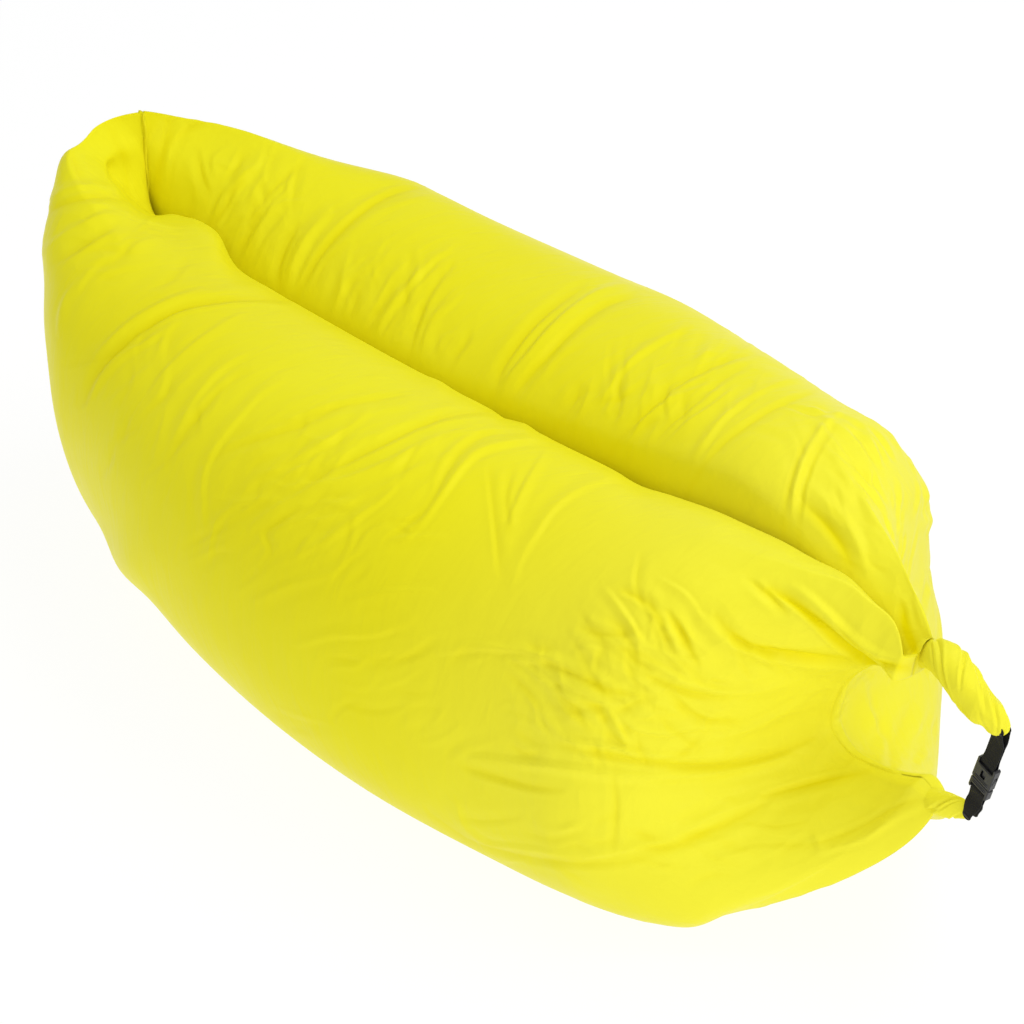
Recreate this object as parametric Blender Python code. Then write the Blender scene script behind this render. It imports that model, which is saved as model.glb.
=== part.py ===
"""Inflated two-sleeve air lounger, lying on the floor and buckled shut.

Two cloth sleeves lie side by side and are sewn together along a spine at the bottom and along
an upright hem at the closed end. At the mouth end both are rolled up together, and the roll is
bent into a loop whose two arms are held by webbing and a side-release buckle.
The plane y = 0 is the plane between the sleeves, the floor is z = 0, and the mouth points to +X.
"""

import math

import bpy
import numpy as np
from mathutils import Matrix, Vector

for stale in list(bpy.data.objects):
    bpy.data.objects.remove(stale, do_unlink=True)

# ---------------------------------------------------------------- driving dimensions, metres
SHIFT_X = -0.0570  # puts the middle of the length at x = 0

CLOSED_X = -0.919  # the upright hem of the closed end
CLOSED_TOP = 0.562  # its top corner, which stands up as a head rest
CAP_LENGTH = 0.305  # closed end, hem to the first full section
CAP_OUT = (0.236, 0.377)  # how far the end bulges along X, at the bottom and at the top
CAP_SIDE = (0.254, 0.271)  # how broadly it turns in to the hem, at the bottom and at the top
CAP_LEAN = (0.24, 0.06)

# full sections of one sleeve, from the closed end to the mouth end
SECTION_AT = (0.0, 0.33, 0.67, 1.0)
HALF_WIDTH = (0.204, 0.245, 0.248, 0.200)
HEIGHT = (0.486, 0.492, 0.513, 0.527)
SQUARENESS = 2.135
PRESSED = 0.812  # share of the half width between a sleeve's middle and the plane between them
SHEAR = (-0.093, 0.116)  # the closed end is broader at the top, the mouth end at the bottom

MOUTH_SETBACK = 0.119  # last full section, behind the inmost point of the roll
MOUTH_OUT = (0.50, 0.42, 0.41)  # bulge along X at the bottom, the middle and the top
MOUTH_TURN = (0.080, 0.35)
MOUTH_FLARE = 0.10

PLANE_GAP = 0.003  # cloth to the plane between the sleeves
HEM_SLOT = 0.008  # the flattened sleeve at the hem
MOUTH_SLOT = 0.012  # the flattened sleeve where it enters the roll
CLOTH = 0.002  # wall that stands for the coated cloth
BLADDER_OUT = 0.0029  # bladder's outside, from the cloth's outside
BLADDER_IN = 0.0042  # bladder's inside, from the cloth's outside

# centre of the rolled mouth in the plane y = 0, from the lower tip round to the upper tip
ROLL_PATH = (
    (0.982, 0.276),
    (0.954, 0.276),
    (0.920, 0.270),
    (0.859, 0.256),
    (0.792, 0.240),
    (0.738, 0.240),
    (0.708, 0.264),
    (0.718, 0.328),
    (0.765, 0.394),
    (0.848, 0.440),
    (0.922, 0.458),
    (0.986, 0.449),
    (1.018, 0.434),
    (1.028, 0.413),
)
ROLL_RADIUS = 0.015
ARM_RADIUS = (0.017, 0.020)  # lower and upper arm
TIP_HALF = (0.0115, 0.0050)  # flattened tip, across and through
ARM_ROOTS = (0.085, 0.79)  # shares of the path where the arms leave the sleeves

WEB_WIDTH = 0.025
WEB_THICK = 0.0016
LEG_AT = 0.0062  # middle of a webbing leg beside an arm's tip
BUCKLE_HALF_WIDTH = 0.017
BUCKLE_HALF_THICK = 0.005
FEMALE_LENGTH = 0.036
MALE_END = 0.0545
PRONG_ROOT = 0.0361

AROUND = 24
CAP_RINGS, BODY_RINGS, MOUTH_RINGS = 6, 10, 8


# ---------------------------------------------------------------- small helpers
def smooth_through(at, values, x):
    """Cubic curve through a few design stations."""
    at = np.array(at, float)
    values = np.array(values, float)
    slope = np.gradient(values, at)
    i = np.clip(np.searchsorted(at, x, side="right") - 1, 0, len(at) - 2)
    h = at[i + 1] - at[i]
    t = (x - at[i]) / h
    return (
        (2 * t**3 - 3 * t**2 + 1) * values[i]
        + (t**3 - 2 * t**2 + t) * h * slope[i]
        + (3 * t**2 - 2 * t**3) * values[i + 1]
        + (t**3 - t**2) * h * slope[i + 1]
    )


def eased_above(value, low, width):
    """value, but never under low, with an eased corner."""
    return low + 0.5 * ((value - low) + np.sqrt((value - low) ** 2 + width**2))


def bridge(start, leave, end, arrive, rings):
    """Cubic rings from one closed curve to another, without the first."""
    t = np.linspace(0, 1, rings + 1)[1:, None, None]
    return (
        (2 * t**3 - 3 * t**2 + 1) * start
        + (t**3 - 2 * t**2 + t) * leave
        + (3 * t**2 - 2 * t**3) * end
        + (t**3 - t**2) * arrive
    )


class Path:
    """A smooth curve in the plane y = 0, by its share of length."""

    def __init__(self, points):
        points = np.array(points, float)
        chord = np.linalg.norm(np.diff(points, axis=0), axis=1)
        at = np.concatenate([[0], np.cumsum(chord)])
        fine = np.linspace(0, at[-1], 400)
        self.points = np.stack(
            [smooth_through(at, points[:, k], fine) for k in (0, 1)], axis=1
        )
        step = np.linalg.norm(np.diff(self.points, axis=0), axis=1)
        self.at = np.concatenate([[0], np.cumsum(step)])
        self.length = self.at[-1]
        self.at /= self.length

    def point(self, share):
        return np.stack(
            [np.interp(share, self.at, self.points[:, k]) for k in (0, 1)], axis=-1
        )

    def tangent(self, share, reach=0.02):
        way = self.point(np.minimum(share + reach, 1)) - self.point(
            np.maximum(share - reach, 0)
        )
        return way / np.linalg.norm(way, axis=-1, keepdims=True)

    def inside(self, share, reach=0.02):
        """Unit normal that points into the loop, away from the sleeves."""
        way = self.tangent(share, reach)
        return np.stack([way[..., 1], -way[..., 0]], axis=-1)


roll_path = Path(ROLL_PATH)


# ---------------------------------------------------------------- the cloth surface
def sleeve_surface():
    """Rings of the near sleeve's outside, closed end to mouth, and the share up the sleeve of each column."""
    turn = np.arange(AROUND) / AROUND
    up = np.where(turn <= 0.5, 2 * turn, 2 - 2 * turn)
    outer = turn > 0.5
    side = np.sin(2 * np.pi * turn)  # + on the side that faces the other sleeve

    first_x = CLOSED_X + CAP_LENGTH
    last_x = roll_path.points[:, 0].min() - MOUTH_SETBACK
    u = np.linspace(0, 1, BODY_RINGS)
    x = first_x + (last_x - first_x) * u
    half = smooth_through(SECTION_AT, HALF_WIDTH, u)[:, None]
    height = smooth_through(SECTION_AT, HEIGHT, u)[:, None]
    angle = -np.pi / 2 + 2 * np.pi * turn
    c, s = np.cos(angle), np.sin(angle)
    c = np.sign(c) * np.abs(c) ** (2 / SQUARENESS)
    s = np.sign(s) * np.abs(s) ** (2 / SQUARENESS)
    z = height / 2 + (height / 2 + 0.010) * s
    y = half * (c - PRESSED)
    y = y + (SHEAR[0] + (SHEAR[1] - SHEAR[0]) * u)[:, None] * (z - height / 2)
    y = -eased_above(-y, PLANE_GAP - 0.001, 0.012)
    z = eased_above(z, -0.014, 0.016)
    body = np.stack([np.broadcast_to(x[:, None], y.shape), y, z], axis=-1)

    def mixed(pair, share):
        return pair[0] + (pair[1] - pair[0]) * share

    nothing = 0 * up
    along = (body[1] - body[0]) / (x[1] - x[0])
    end = np.stack(
        [
            CLOSED_X + nothing,
            -PLANE_GAP - HEM_SLOT / 2 * (1 - side / np.maximum(np.abs(side), 0.35)),
            0.012 + (CLOSED_TOP - 0.012) * up,
        ],
        axis=-1,
    )
    # the outer wall turns in to the hem from the side, the inner one along the plane between
    sideways = 0.5 * (1 - np.tanh((side + 0.35 - 0.7 * up) / 0.25))
    outer_way = np.stack([mixed(CAP_LEAN, up**2), 1 + nothing, nothing], axis=-1)
    inner_way = np.array([-0.45, 0.0, 0.0])
    arrive = sideways[:, None] * outer_way + (1 - sideways)[:, None] * inner_way
    arrive = arrive * mixed(CAP_SIDE, up**2)[:, None]
    out = sideways * mixed(CAP_OUT, up**2) + (1 - sideways) * 0.9 * CAP_LENGTH
    cap = bridge(body[0], -along * out[:, None], end, arrive, CAP_RINGS)[::-1]

    share = ARM_ROOTS[0] + (ARM_ROOTS[1] - ARM_ROOTS[0]) * up
    line = roll_path.point(share) - roll_path.inside(share, 0.05) * (
        ROLL_RADIUS + 0.007 + 0.003 * (1 - np.sin(np.pi * up))[:, None]
    )
    mouth = np.stack(
        [
            line[:, 0],
            -PLANE_GAP - MOUTH_SLOT / 2 * (1 - side / np.maximum(np.abs(side), 0.35)),
            line[:, 1],
        ],
        axis=-1,
    )
    deep = np.sin(np.pi * up) ** 0.6
    out = (
        MOUTH_OUT[1]
        + (MOUTH_OUT[0] - MOUTH_OUT[1]) * (1 - up) ** 2
        + (MOUTH_OUT[2] - MOUTH_OUT[1]) * up**2
    )
    sideways = 0.5 * (1 - np.tanh((side + 0.1) / 0.3))
    straight = np.maximum(line[:, 0] - x[-1], 0.05)
    out = sideways * out + (1 - sideways) * np.minimum(straight, out)
    leave = (body[-1] - body[-2]) / (x[-1] - x[-2]) * out[:, None]
    leave[:, 1] += outer * np.sqrt(np.sin(np.pi * up)) * MOUTH_FLARE
    # the cloth comes in square to the roll: the outer wall from the side, the inner one flat
    square = roll_path.inside(share, 0.06)
    lateral = sideways * deep
    ahead = 1 - (1 - MOUTH_TURN[1]) * lateral
    turn_in = (
        np.stack([square[:, 0] * ahead, lateral, square[:, 1] * ahead], axis=-1)
        * MOUTH_TURN[0]
    )
    front = bridge(body[-1], leave, mouth, turn_in, MOUTH_RINGS)

    rings = np.concatenate([cap, body, front])
    y, z = rings[1:-1, :, 1], rings[1:-1, :, 2]
    rings[1:-1, :, 1] = -eased_above(-y, PLANE_GAP - 0.0005, 0.004)
    lifted = eased_above(z, -0.003, 0.006)
    # its own weight presses a narrow strip flat on the floor
    rings[1:-1, :, 2] = np.where(lifted < 0.0048, 0.0, lifted)
    rings[..., 1] = np.minimum(rings[..., 1], -PLANE_GAP)
    rings[..., 2] = np.maximum(rings[..., 2], 0.0)
    rings[..., 0] += SHIFT_X
    return rings


def grid_triangles(rings, around, reverse):
    """Triangles between following rings."""
    ring, column = np.meshgrid(np.arange(rings - 1), np.arange(around), indexing="ij")
    nxt = (column + 1) % around
    a, b = ring * around + column, ring * around + nxt
    c, d = a + around, b + around
    faces = np.concatenate(
        [np.stack([a, b, d], -1).reshape(-1, 3), np.stack([a, d, c], -1).reshape(-1, 3)]
    )
    return faces[:, ::-1] if reverse else faces


def zip_cap(around, base, reverse):
    """Closes a flattened ring by joining each column to the one across from it."""
    half = around // 2
    faces = []
    for j in range(half):
        a, b = base + j, base + j + 1
        c, d = base + (around - j) % around, base + around - j - 1
        if j == 0:
            faces.append((a, d, b))
        elif j == half - 1:
            faces.append((a, c, b))
        else:
            faces += [(a, c, d), (a, d, b)]
    faces = np.array(faces)
    return faces[:, ::-1] if reverse else faces


def inwards(rings, distance):
    """The same rings moved into the sleeve, square to the cloth."""
    count, around = rings.shape[:2]
    points = rings.reshape(-1, 3)
    faces = grid_triangles(count, around, False)
    corner = points[faces]
    face_normal = np.cross(corner[:, 1] - corner[:, 0], corner[:, 2] - corner[:, 0])
    normal = np.zeros_like(points)
    for k in range(3):
        np.add.at(normal, faces[:, k], face_normal)
    normal /= np.linalg.norm(normal, axis=1, keepdims=True)
    middle = rings.mean(axis=1, keepdims=True)
    if ((points - np.broadcast_to(middle, rings.shape).reshape(-1, 3)) * normal).sum() < 0:
        normal = -normal
    return (points - normal * distance).reshape(rings.shape)


def signed_volume(points, faces):
    corner = points[faces]
    return np.einsum(
        "ij,ij->i", corner[:, 0], np.cross(corner[:, 1], corner[:, 2])
    ).sum()


def skin(outside, inside):
    """A thin wall, closed at its first ring and open at its last."""
    around = outside.shape[1]
    points = np.concatenate([outside.reshape(-1, 3), inside.reshape(-1, 3)])
    start = outside.shape[0] * around
    rim_out = (outside.shape[0] - 1) * around
    rim_in = start + (inside.shape[0] - 1) * around
    faces = [
        grid_triangles(outside.shape[0], around, False),
        zip_cap(around, 0, False),
        grid_triangles(inside.shape[0], around, True) + start,
        zip_cap(around, start, True),
    ]
    rim = []
    for j in range(around):
        k = (j + 1) % around
        rim += [
            (rim_out + j, rim_out + k, rim_in + k),
            (rim_out + j, rim_in + k, rim_in + j),
        ]
    faces.append(np.array(rim))
    faces = np.concatenate(faces)
    return points, faces if signed_volume(points, faces) > 0 else faces[:, ::-1]


# ---------------------------------------------------------------- making objects
def material(name, colour, roughness, coat=0.0):
    made = bpy.data.materials.new(name)
    made.use_nodes = True
    shader = made.node_tree.nodes["Principled BSDF"]
    shader.inputs["Base Color"].default_value = (*colour, 1)
    shader.inputs["Roughness"].default_value = roughness
    shader.inputs["Coat Weight"].default_value = coat
    made.diffuse_color = (*colour, 1)
    return made


YELLOW = (0.80, 0.75, 0.02)
FILM = (0.80, 0.84, 0.80)
THREAD = (0.85, 0.80, 0.10)
BLACK = (0.018, 0.018, 0.02)


def add(name, points, faces, made, smooth=True, origin=None, matrix=None):
    points = np.asarray(points, float)
    if origin is not None:
        points = points - np.asarray(origin, float)
    mesh = bpy.data.meshes.new(name)
    mesh.from_pydata(points.tolist(), [], [list(map(int, f)) for f in faces])
    mesh.update()
    mesh.materials.append(made)
    obj = bpy.data.objects.new(name, mesh)
    bpy.context.scene.collection.objects.link(obj)
    if origin is not None:
        obj.location = origin
    if matrix is not None:
        obj.matrix_world = matrix
    if smooth:
        mesh.shade_smooth()
    return obj


def mirrored(points, faces):
    return points * np.array([1, -1, 1]), faces[:, ::-1]


# ---------------------------------------------------------------- sleeves and bladders
rings = sleeve_surface()
cloth = skin(rings, inwards(rings, CLOTH)[1:])
bladder = skin(inwards(rings, BLADDER_OUT)[2:], inwards(rings, BLADDER_IN)[3:])
add("near_sleeve", *cloth, material("yellow_cloth_near", YELLOW, 0.42))
add("far_sleeve", *mirrored(*cloth), material("yellow_cloth_far", YELLOW, 0.42))
add("near_air_bladder", *bladder, material("film_near", FILM, 0.3))
add("far_air_bladder", *mirrored(*bladder), material("film_far", FILM, 0.3))


# ---------------------------------------------------------------- sewn strips
def swept(centre, across, half_across, half_through, round_ends=False):
    """A flat strip in the plane y = 0: centre and across are (n, 2) in x and z."""
    n = len(centre)
    corner = []
    for sign_a, sign_y in ((-1, -1), (1, -1), (1, 1), (-1, 1)):
        xz = centre + across * (sign_a * half_across)
        corner.append(
            np.stack([xz[:, 0], np.full(n, sign_y * half_through), xz[:, 1]], axis=-1)
        )
    points = np.stack(corner, axis=1)
    faces = grid_triangles(n, 4, False)
    ends = np.array([(0, 1, 2), (0, 2, 3)])
    faces = np.concatenate([faces, ends[:, ::-1], ends + 4 * (n - 1)])
    points = points.reshape(-1, 3)
    return points, faces if signed_volume(points, faces) > 0 else faces[:, ::-1]


# the spine runs where the two sleeves first meet above the floor
spine = []
for ring in rings[1:-1, :7]:
    column = np.interp(-0.0085, np.maximum.accumulate(ring[:, 1]), np.arange(7.0))
    spine.append([np.interp(column, np.arange(7.0), ring[:, k]) for k in (0, 2)])
spine = np.array(spine)
way = np.gradient(spine, axis=0)
way /= np.linalg.norm(way, axis=1, keepdims=True)
across = np.stack([-way[:, 1], way[:, 0]], axis=1)
add(
    "spine_seam",
    *swept(spine, across, 0.009, 0.0020),
    material("seam_thread", THREAD, 0.6),
    smooth=False,
)

hem_z = np.linspace(0.016, CLOSED_TOP - 0.004, 9)
hem = np.stack([np.full(9, CLOSED_X - 0.0065 + SHIFT_X), hem_z], axis=1)
add(
    "closed_end_hem",
    *swept(hem, np.tile([1.0, 0.0], (9, 1)), 0.006, 0.003),
    material("hem_cloth", YELLOW, 0.5),
    smooth=False,
)


# ---------------------------------------------------------------- the rolled mouth
def tube_along(shares, half_n, half_y, count):
    """Elliptical rings along the roll's path."""
    at = roll_path.point(shares)
    normal = roll_path.inside(shares)
    angle = 2 * np.pi * np.arange(count) / count
    xz = (
        at[:, None, :]
        + normal[:, None, :] * (half_n[:, None] * np.cos(angle))[..., None]
    )
    y = half_y[:, None] * np.sin(angle)
    return np.stack([xz[..., 0] + SHIFT_X, y, xz[..., 1]], axis=-1)


def pipe(outside, inside):
    """A wall open at both ends."""
    n, around = outside.shape[:2]
    points = np.concatenate([outside.reshape(-1, 3), inside.reshape(-1, 3)])
    start = n * around
    faces = [
        grid_triangles(n, around, False),
        grid_triangles(n, around, True) + start,
    ]
    for base, flip in ((0, False), ((n - 1) * around, True)):
        rim = []
        for j in range(around):
            k = (j + 1) % around
            rim += [
                (base + j, start + base + k, base + k),
                (base + j, start + base + j, start + base + k),
            ]
        rim = np.array(rim)
        faces.append(rim[:, ::-1] if flip else rim)
    faces = np.concatenate(faces)
    return points, faces if signed_volume(points, faces) > 0 else faces[:, ::-1]


tip = 0.021 / roll_path.length
shares = np.concatenate(
    [[0, tip], np.linspace(tip, 1 - tip, 35)[1:-1], [1 - tip, 1]]
)
stations = (0, tip, 0.07, 0.12, 0.25, 0.68, 0.80, 0.94, 1 - tip, 1)
half_n = np.interp(
    shares,
    stations,
    (
        TIP_HALF[0],
        TIP_HALF[0],
        ARM_RADIUS[0],
        ARM_RADIUS[0],
        ROLL_RADIUS,
        ROLL_RADIUS,
        0.018,
        ARM_RADIUS[1],
        TIP_HALF[0],
        TIP_HALF[0],
    ),
)
half_y = np.interp(
    shares,
    stations,
    (TIP_HALF[1], TIP_HALF[1], 0.015, 0.017, 0.015, 0.015, 0.016, 0.018, TIP_HALF[1], TIP_HALF[1]),
)
core_n = np.full(len(shares), 0.0034)
core_y = np.interp(shares, (0, tip, 0.12, 0.88, 1 - tip, 1), (0.0022, 0.0022, 0.0105, 0.0105, 0.0022, 0.0022))
add(
    "mouth_roll",
    *pipe(
        tube_along(shares, half_n, half_y, 12), tube_along(shares, core_n, core_y, 12)
    ),
    material("yellow_cloth_roll", YELLOW, 0.42),
)

inner_shares = shares[4:-4]
at = roll_path.point(inner_shares) + np.array([SHIFT_X, 0])
normal = roll_path.inside(inner_shares)
strip = []
for sign_n, sign_y in ((-1, -1), (1, -1), (1, 1), (-1, 1)):
    xz = at + normal * (sign_n * 0.0006)
    strip.append(
        np.stack([xz[:, 0], np.full(len(at), sign_y * 0.0060), xz[:, 1]], axis=-1)
    )
strip = np.stack(strip, axis=1).reshape(-1, 3)
faces = grid_triangles(len(at), 4, False)
ends = np.array([(0, 1, 2), (0, 2, 3)])
faces = np.concatenate([faces, ends[:, ::-1], ends + 4 * (len(at) - 1)])
if signed_volume(strip, faces) < 0:
    faces = faces[:, ::-1]
add(
    "mouth_stiffener",
    strip,
    faces,
    material("stiffener_strip", (0.75, 0.75, 0.72), 0.5),
    smooth=False,
)

# ---------------------------------------------------------------- webbing and buckle frame
lower_end, upper_end = (np.array(ROLL_PATH[k]) + [SHIFT_X, 0] for k in (0, -1))
span = float(np.linalg.norm(lower_end - upper_end))
down = (lower_end - upper_end) / span
UPPER_FREE = (span - MALE_END) * 0.56  # arm tip to the top of the buckle
LOWER_FREE = span - MALE_END - UPPER_FREE
across_axis = Vector((down[1], 0, -down[0]))
long_axis = Vector((down[0], 0, down[1]))
top = upper_end + down * UPPER_FREE
FRAME = Matrix(
    (
        (across_axis.x, 0, long_axis.x, top[0]),
        (0, 1, 0, 0),
        (across_axis.z, 0, long_axis.z, top[1]),
        (0, 0, 0, 1),
    )
)  # local x across the buckle, y through it, z from the upper arm to the lower


def band(name, line, made):
    """Webbing of constant width along a line in the local y-z plane."""
    line = np.array(line, float)
    way = np.gradient(line, axis=0)
    way /= np.linalg.norm(way, axis=1, keepdims=True)
    side = np.stack([-way[:, 1], way[:, 0]], axis=1) * (WEB_THICK / 2)
    rows = []
    for sign_x, sign_s in ((-1, -1), (1, -1), (1, 1), (-1, 1)):
        yz = line + side * sign_s
        rows.append(
            np.stack(
                [np.full(len(line), sign_x * WEB_WIDTH / 2), yz[:, 0], yz[:, 1]], -1
            )
        )
    points = np.stack(rows, axis=1).reshape(-1, 3)
    n = len(line)
    faces = grid_triangles(n, 4, False)
    ends = np.array([(0, 1, 2), (0, 2, 3)])
    faces = np.concatenate([faces, ends[:, ::-1], ends + 4 * (n - 1)])
    if signed_volume(points, faces) < 0:
        faces = faces[:, ::-1]
    return add(name, points, faces, made, smooth=False, matrix=FRAME)


def loop_line(bar, tip_z, leg_end):
    """Down one side of the arm's tip, round the bar and back up the other side."""
    toward = math.copysign(1, bar - tip_z)
    turn = 0.0034
    half = [
        (LEG_AT, leg_end),
        (LEG_AT, tip_z),
        (LEG_AT - 0.0006, tip_z + toward * 0.006),
        (turn + 0.0008, bar - toward * 0.012),
        (turn, bar - toward * 0.004),
    ]
    arc = [
        (turn * math.cos(a), bar + toward * turn * math.sin(a))
        for a in np.linspace(0, math.pi, 9)
    ]
    return half + arc + [(-y, z) for y, z in reversed(half)]


web = material("black_webbing_upper", BLACK, 0.7)
band(
    "upper_webbing",
    loop_line(0.003, -UPPER_FREE, -UPPER_FREE - 0.018),
    web,
)
band(
    "lower_webbing",
    loop_line(MALE_END - 0.003, MALE_END + LOWER_FREE, MALE_END + LOWER_FREE + 0.018),
    material("black_webbing_lower", BLACK, 0.7),
)


def block(x, y, z):
    """Corners and faces of a box between two limits on each axis."""
    points = np.array([(a, b, c) for a in x for b in y for c in z], float)
    faces = np.array(
        [
            (0, 1, 3), (0, 3, 2), (4, 6, 7), (4, 7, 5), (0, 4, 5), (0, 5, 1),
            (2, 3, 7), (2, 7, 6), (0, 2, 6), (0, 6, 4), (1, 5, 7), (1, 7, 3),
        ]
    )
    return points, faces if signed_volume(points, faces) > 0 else faces[:, ::-1]


tack_shade = material("tack_thread", BLACK, 0.8)
for arm, at_z in (
    ("upper", -UPPER_FREE - 0.010),
    ("lower", MALE_END + LOWER_FREE + 0.010),
):
    for side_name, sign in (("near", -1), ("far", 1)):
        inner = LEG_AT + WEB_THICK / 2 + 0.0003
        limits = sorted((sign * inner, sign * (inner + 0.0009)))
        add(
            f"{arm}_tack_{side_name}",
            *block((-0.0105, 0.0105), limits, (at_z - 0.0015, at_z + 0.0015)),
            tack_shade,
            smooth=False,
            matrix=FRAME,
        )


# ---------------------------------------------------------------- the buckle
def helper(name, x, y, z):
    obj = add(name, *block(x, y, z), buckle_black, smooth=False, matrix=FRAME)
    obj.hide_render = True
    obj.display_type = "WIRE"
    return obj


def bar_helper(name, z, reach=0.0152, radius=0.0019, count=12):
    angle = 2 * np.pi * np.arange(count) / count
    ring = np.stack([0 * angle, radius * np.cos(angle), z + radius * np.sin(angle)], -1)
    points = np.stack([ring - [reach, 0, 0], ring + [reach, 0, 0]])
    faces = grid_triangles(2, count, False)
    fan = np.array([(0, j, j + 1) for j in range(1, count - 1)])
    flat = points.reshape(-1, 3)
    faces = np.concatenate([faces, fan[:, ::-1], fan + count])
    if signed_volume(flat, faces) < 0:
        faces = faces[:, ::-1]
    obj = add(name, flat, faces, buckle_black, smooth=False, matrix=FRAME)
    obj.hide_render = True
    obj.display_type = "WIRE"
    return obj


def modify(obj, other, operation):
    step = obj.modifiers.new(other.name, "BOOLEAN")
    step.operation = operation
    step.solver = "EXACT"
    step.object = other


def bevel(obj, width):
    step = obj.modifiers.new("bevel", "BEVEL")
    step.width = width
    step.segments = 1
    step.limit_method = "ANGLE"
    step.angle_limit = math.radians(60)


buckle_black = material("buckle_acetal", BLACK, 0.38)
BW, BT = BUCKLE_HALF_WIDTH, BUCKLE_HALF_THICK

female = add("buckle_female", *block((-BW, BW), (-BT, BT), (0.0, FEMALE_LENGTH)), buckle_black, smooth=False, matrix=FRAME)
bevel(female, 0.0015)
modify(female, helper("cut_web_slot", (-0.0135, 0.0135), (-0.02, 0.02), (-0.01, 0.0088)), "DIFFERENCE")
modify(female, bar_helper("female_bar", 0.0030), "UNION")
modify(female, helper("cut_cavity", (-0.0137, 0.0137), (-0.0033, 0.0033), (0.0112, 0.05)), "DIFFERENCE")
modify(female, helper("cut_windows", (-0.03, 0.03), (-0.0031, 0.0031), (0.0128, 0.0262)), "DIFFERENCE")
modify(female, helper("cut_view", (-0.0045, 0.0045), (-0.02, 0.02), (0.0150, 0.0270)), "DIFFERENCE")

male = add("buckle_male", *block((-BW, BW), (-BT, BT), (FEMALE_LENGTH + 0.0006, MALE_END)), buckle_black, smooth=False, matrix=FRAME)
bevel(male, 0.0015)
modify(male, helper("cut_male_slot", (-0.0135, 0.0135), (-0.02, 0.02), (MALE_END - 0.0088, MALE_END + 0.01)), "DIFFERENCE")
modify(male, bar_helper("male_bar", MALE_END - 0.0030), "UNION")
modify(male, helper("male_plug", (-0.0075, 0.0075), (-0.0029, 0.0029), (0.0325, FEMALE_LENGTH + 0.002)), "UNION")
modify(male, helper("male_guide", (-0.0030, 0.0030), (-0.0024, 0.0024), (0.0150, 0.034)), "UNION")


def prong(name, sign):
    """A springy side prong, its origin on the line where it bends."""
    outline = np.array(
        [
            (0.0088, PRONG_ROOT),
            (0.0113, PRONG_ROOT),
            (0.0113, 0.0259),
            (0.0170, 0.0259),
            (0.0176, 0.0235),
            (0.0172, 0.0195),
            (0.0158, 0.0160),
            (0.0130, 0.0134),
            (0.0098, 0.0134),
            (0.0088, 0.0160),
        ]
    )
    outline[:, 0] *= sign
    hinge = (sign * 0.01005, 0.0, PRONG_ROOT)
    n = len(outline)
    points = np.array(
        [(x, y, z) for y in (-0.0026, 0.0026) for x, z in outline]
    ) - np.array(hinge)
    cap = [(0, 1, 2), (0, 2, 9), (9, 2, 8), (8, 2, 7), (7, 2, 6), (6, 2, 5), (5, 2, 4), (4, 2, 3)]
    faces = [list(t) for t in cap] + [[a + n, c + n, b + n] for a, b, c in cap]
    for j in range(n):
        k = (j + 1) % n
        faces += [[j, k + n, k], [j, j + n, k + n]]
    faces = np.array(faces)
    if signed_volume(points, faces) < 0:
        faces = faces[:, ::-1]
    return add(
        name,
        points,
        faces,
        material(name + "_acetal", BLACK, 0.38),
        smooth=False,
        matrix=FRAME @ Matrix.Translation(Vector(hinge)),
    )


prong("prong_left", -1)
prong("prong_right", 1)
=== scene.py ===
"""Looks of the inflatable air lounger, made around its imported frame.

The sleeves are shaped station by station, and then given the folds that lie on them. Lengths are
in metres unless a name says otherwise.
"""

import math

import bmesh
import bpy
import numpy as np
from mathutils import Matrix, Vector


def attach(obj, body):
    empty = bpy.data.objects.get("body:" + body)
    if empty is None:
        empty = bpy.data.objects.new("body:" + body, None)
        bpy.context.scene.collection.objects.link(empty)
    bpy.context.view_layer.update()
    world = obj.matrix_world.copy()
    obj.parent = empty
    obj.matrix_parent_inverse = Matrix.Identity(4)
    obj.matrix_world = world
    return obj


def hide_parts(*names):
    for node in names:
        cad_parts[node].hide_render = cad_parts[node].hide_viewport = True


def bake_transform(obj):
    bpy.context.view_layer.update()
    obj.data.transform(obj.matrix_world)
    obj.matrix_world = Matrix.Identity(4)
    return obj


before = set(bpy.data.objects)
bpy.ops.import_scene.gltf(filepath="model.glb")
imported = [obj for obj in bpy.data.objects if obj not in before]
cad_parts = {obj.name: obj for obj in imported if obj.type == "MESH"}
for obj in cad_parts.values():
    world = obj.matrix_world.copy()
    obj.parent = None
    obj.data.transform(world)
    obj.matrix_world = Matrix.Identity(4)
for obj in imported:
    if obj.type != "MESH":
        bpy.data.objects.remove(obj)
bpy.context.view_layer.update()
scene = bpy.context.scene

SHIFT_X = -0.0570  # the stations below count x from here

# ---------------------------------------------------------------- camera
TURN, RISE, ROLL = math.radians(53.4), math.radians(31.7), math.radians(0.5)
FOCAL_PX, DISTANCE = 4439.0, 6.43
AIM_PX = (505.936, 674.012)  # where the point (SHIFT_X, 0, 0) lies in the 1024 px picture

right = np.array([math.cos(TURN), math.sin(TURN), 0.0])
upward = np.array(
    [-math.sin(TURN) * math.sin(RISE), math.cos(TURN) * math.sin(RISE), math.cos(RISE)]
)
back = np.cross(right, upward)
cr, sr = math.cos(ROLL), math.sin(ROLL)
right_cam, up_cam = cr * right - sr * upward, sr * right + cr * upward
eye = np.array([SHIFT_X, 0, 0]) + DISTANCE * back


def projected(points):
    """Picture place of points, in pixels, and their depth."""
    p = points - np.array([SHIFT_X, 0, 0])
    x, y, z = p @ right_cam, p @ up_cam, DISTANCE - p @ back
    return AIM_PX[0] + FOCAL_PX * x / z, AIM_PX[1] - FOCAL_PX * y / z, z


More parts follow.
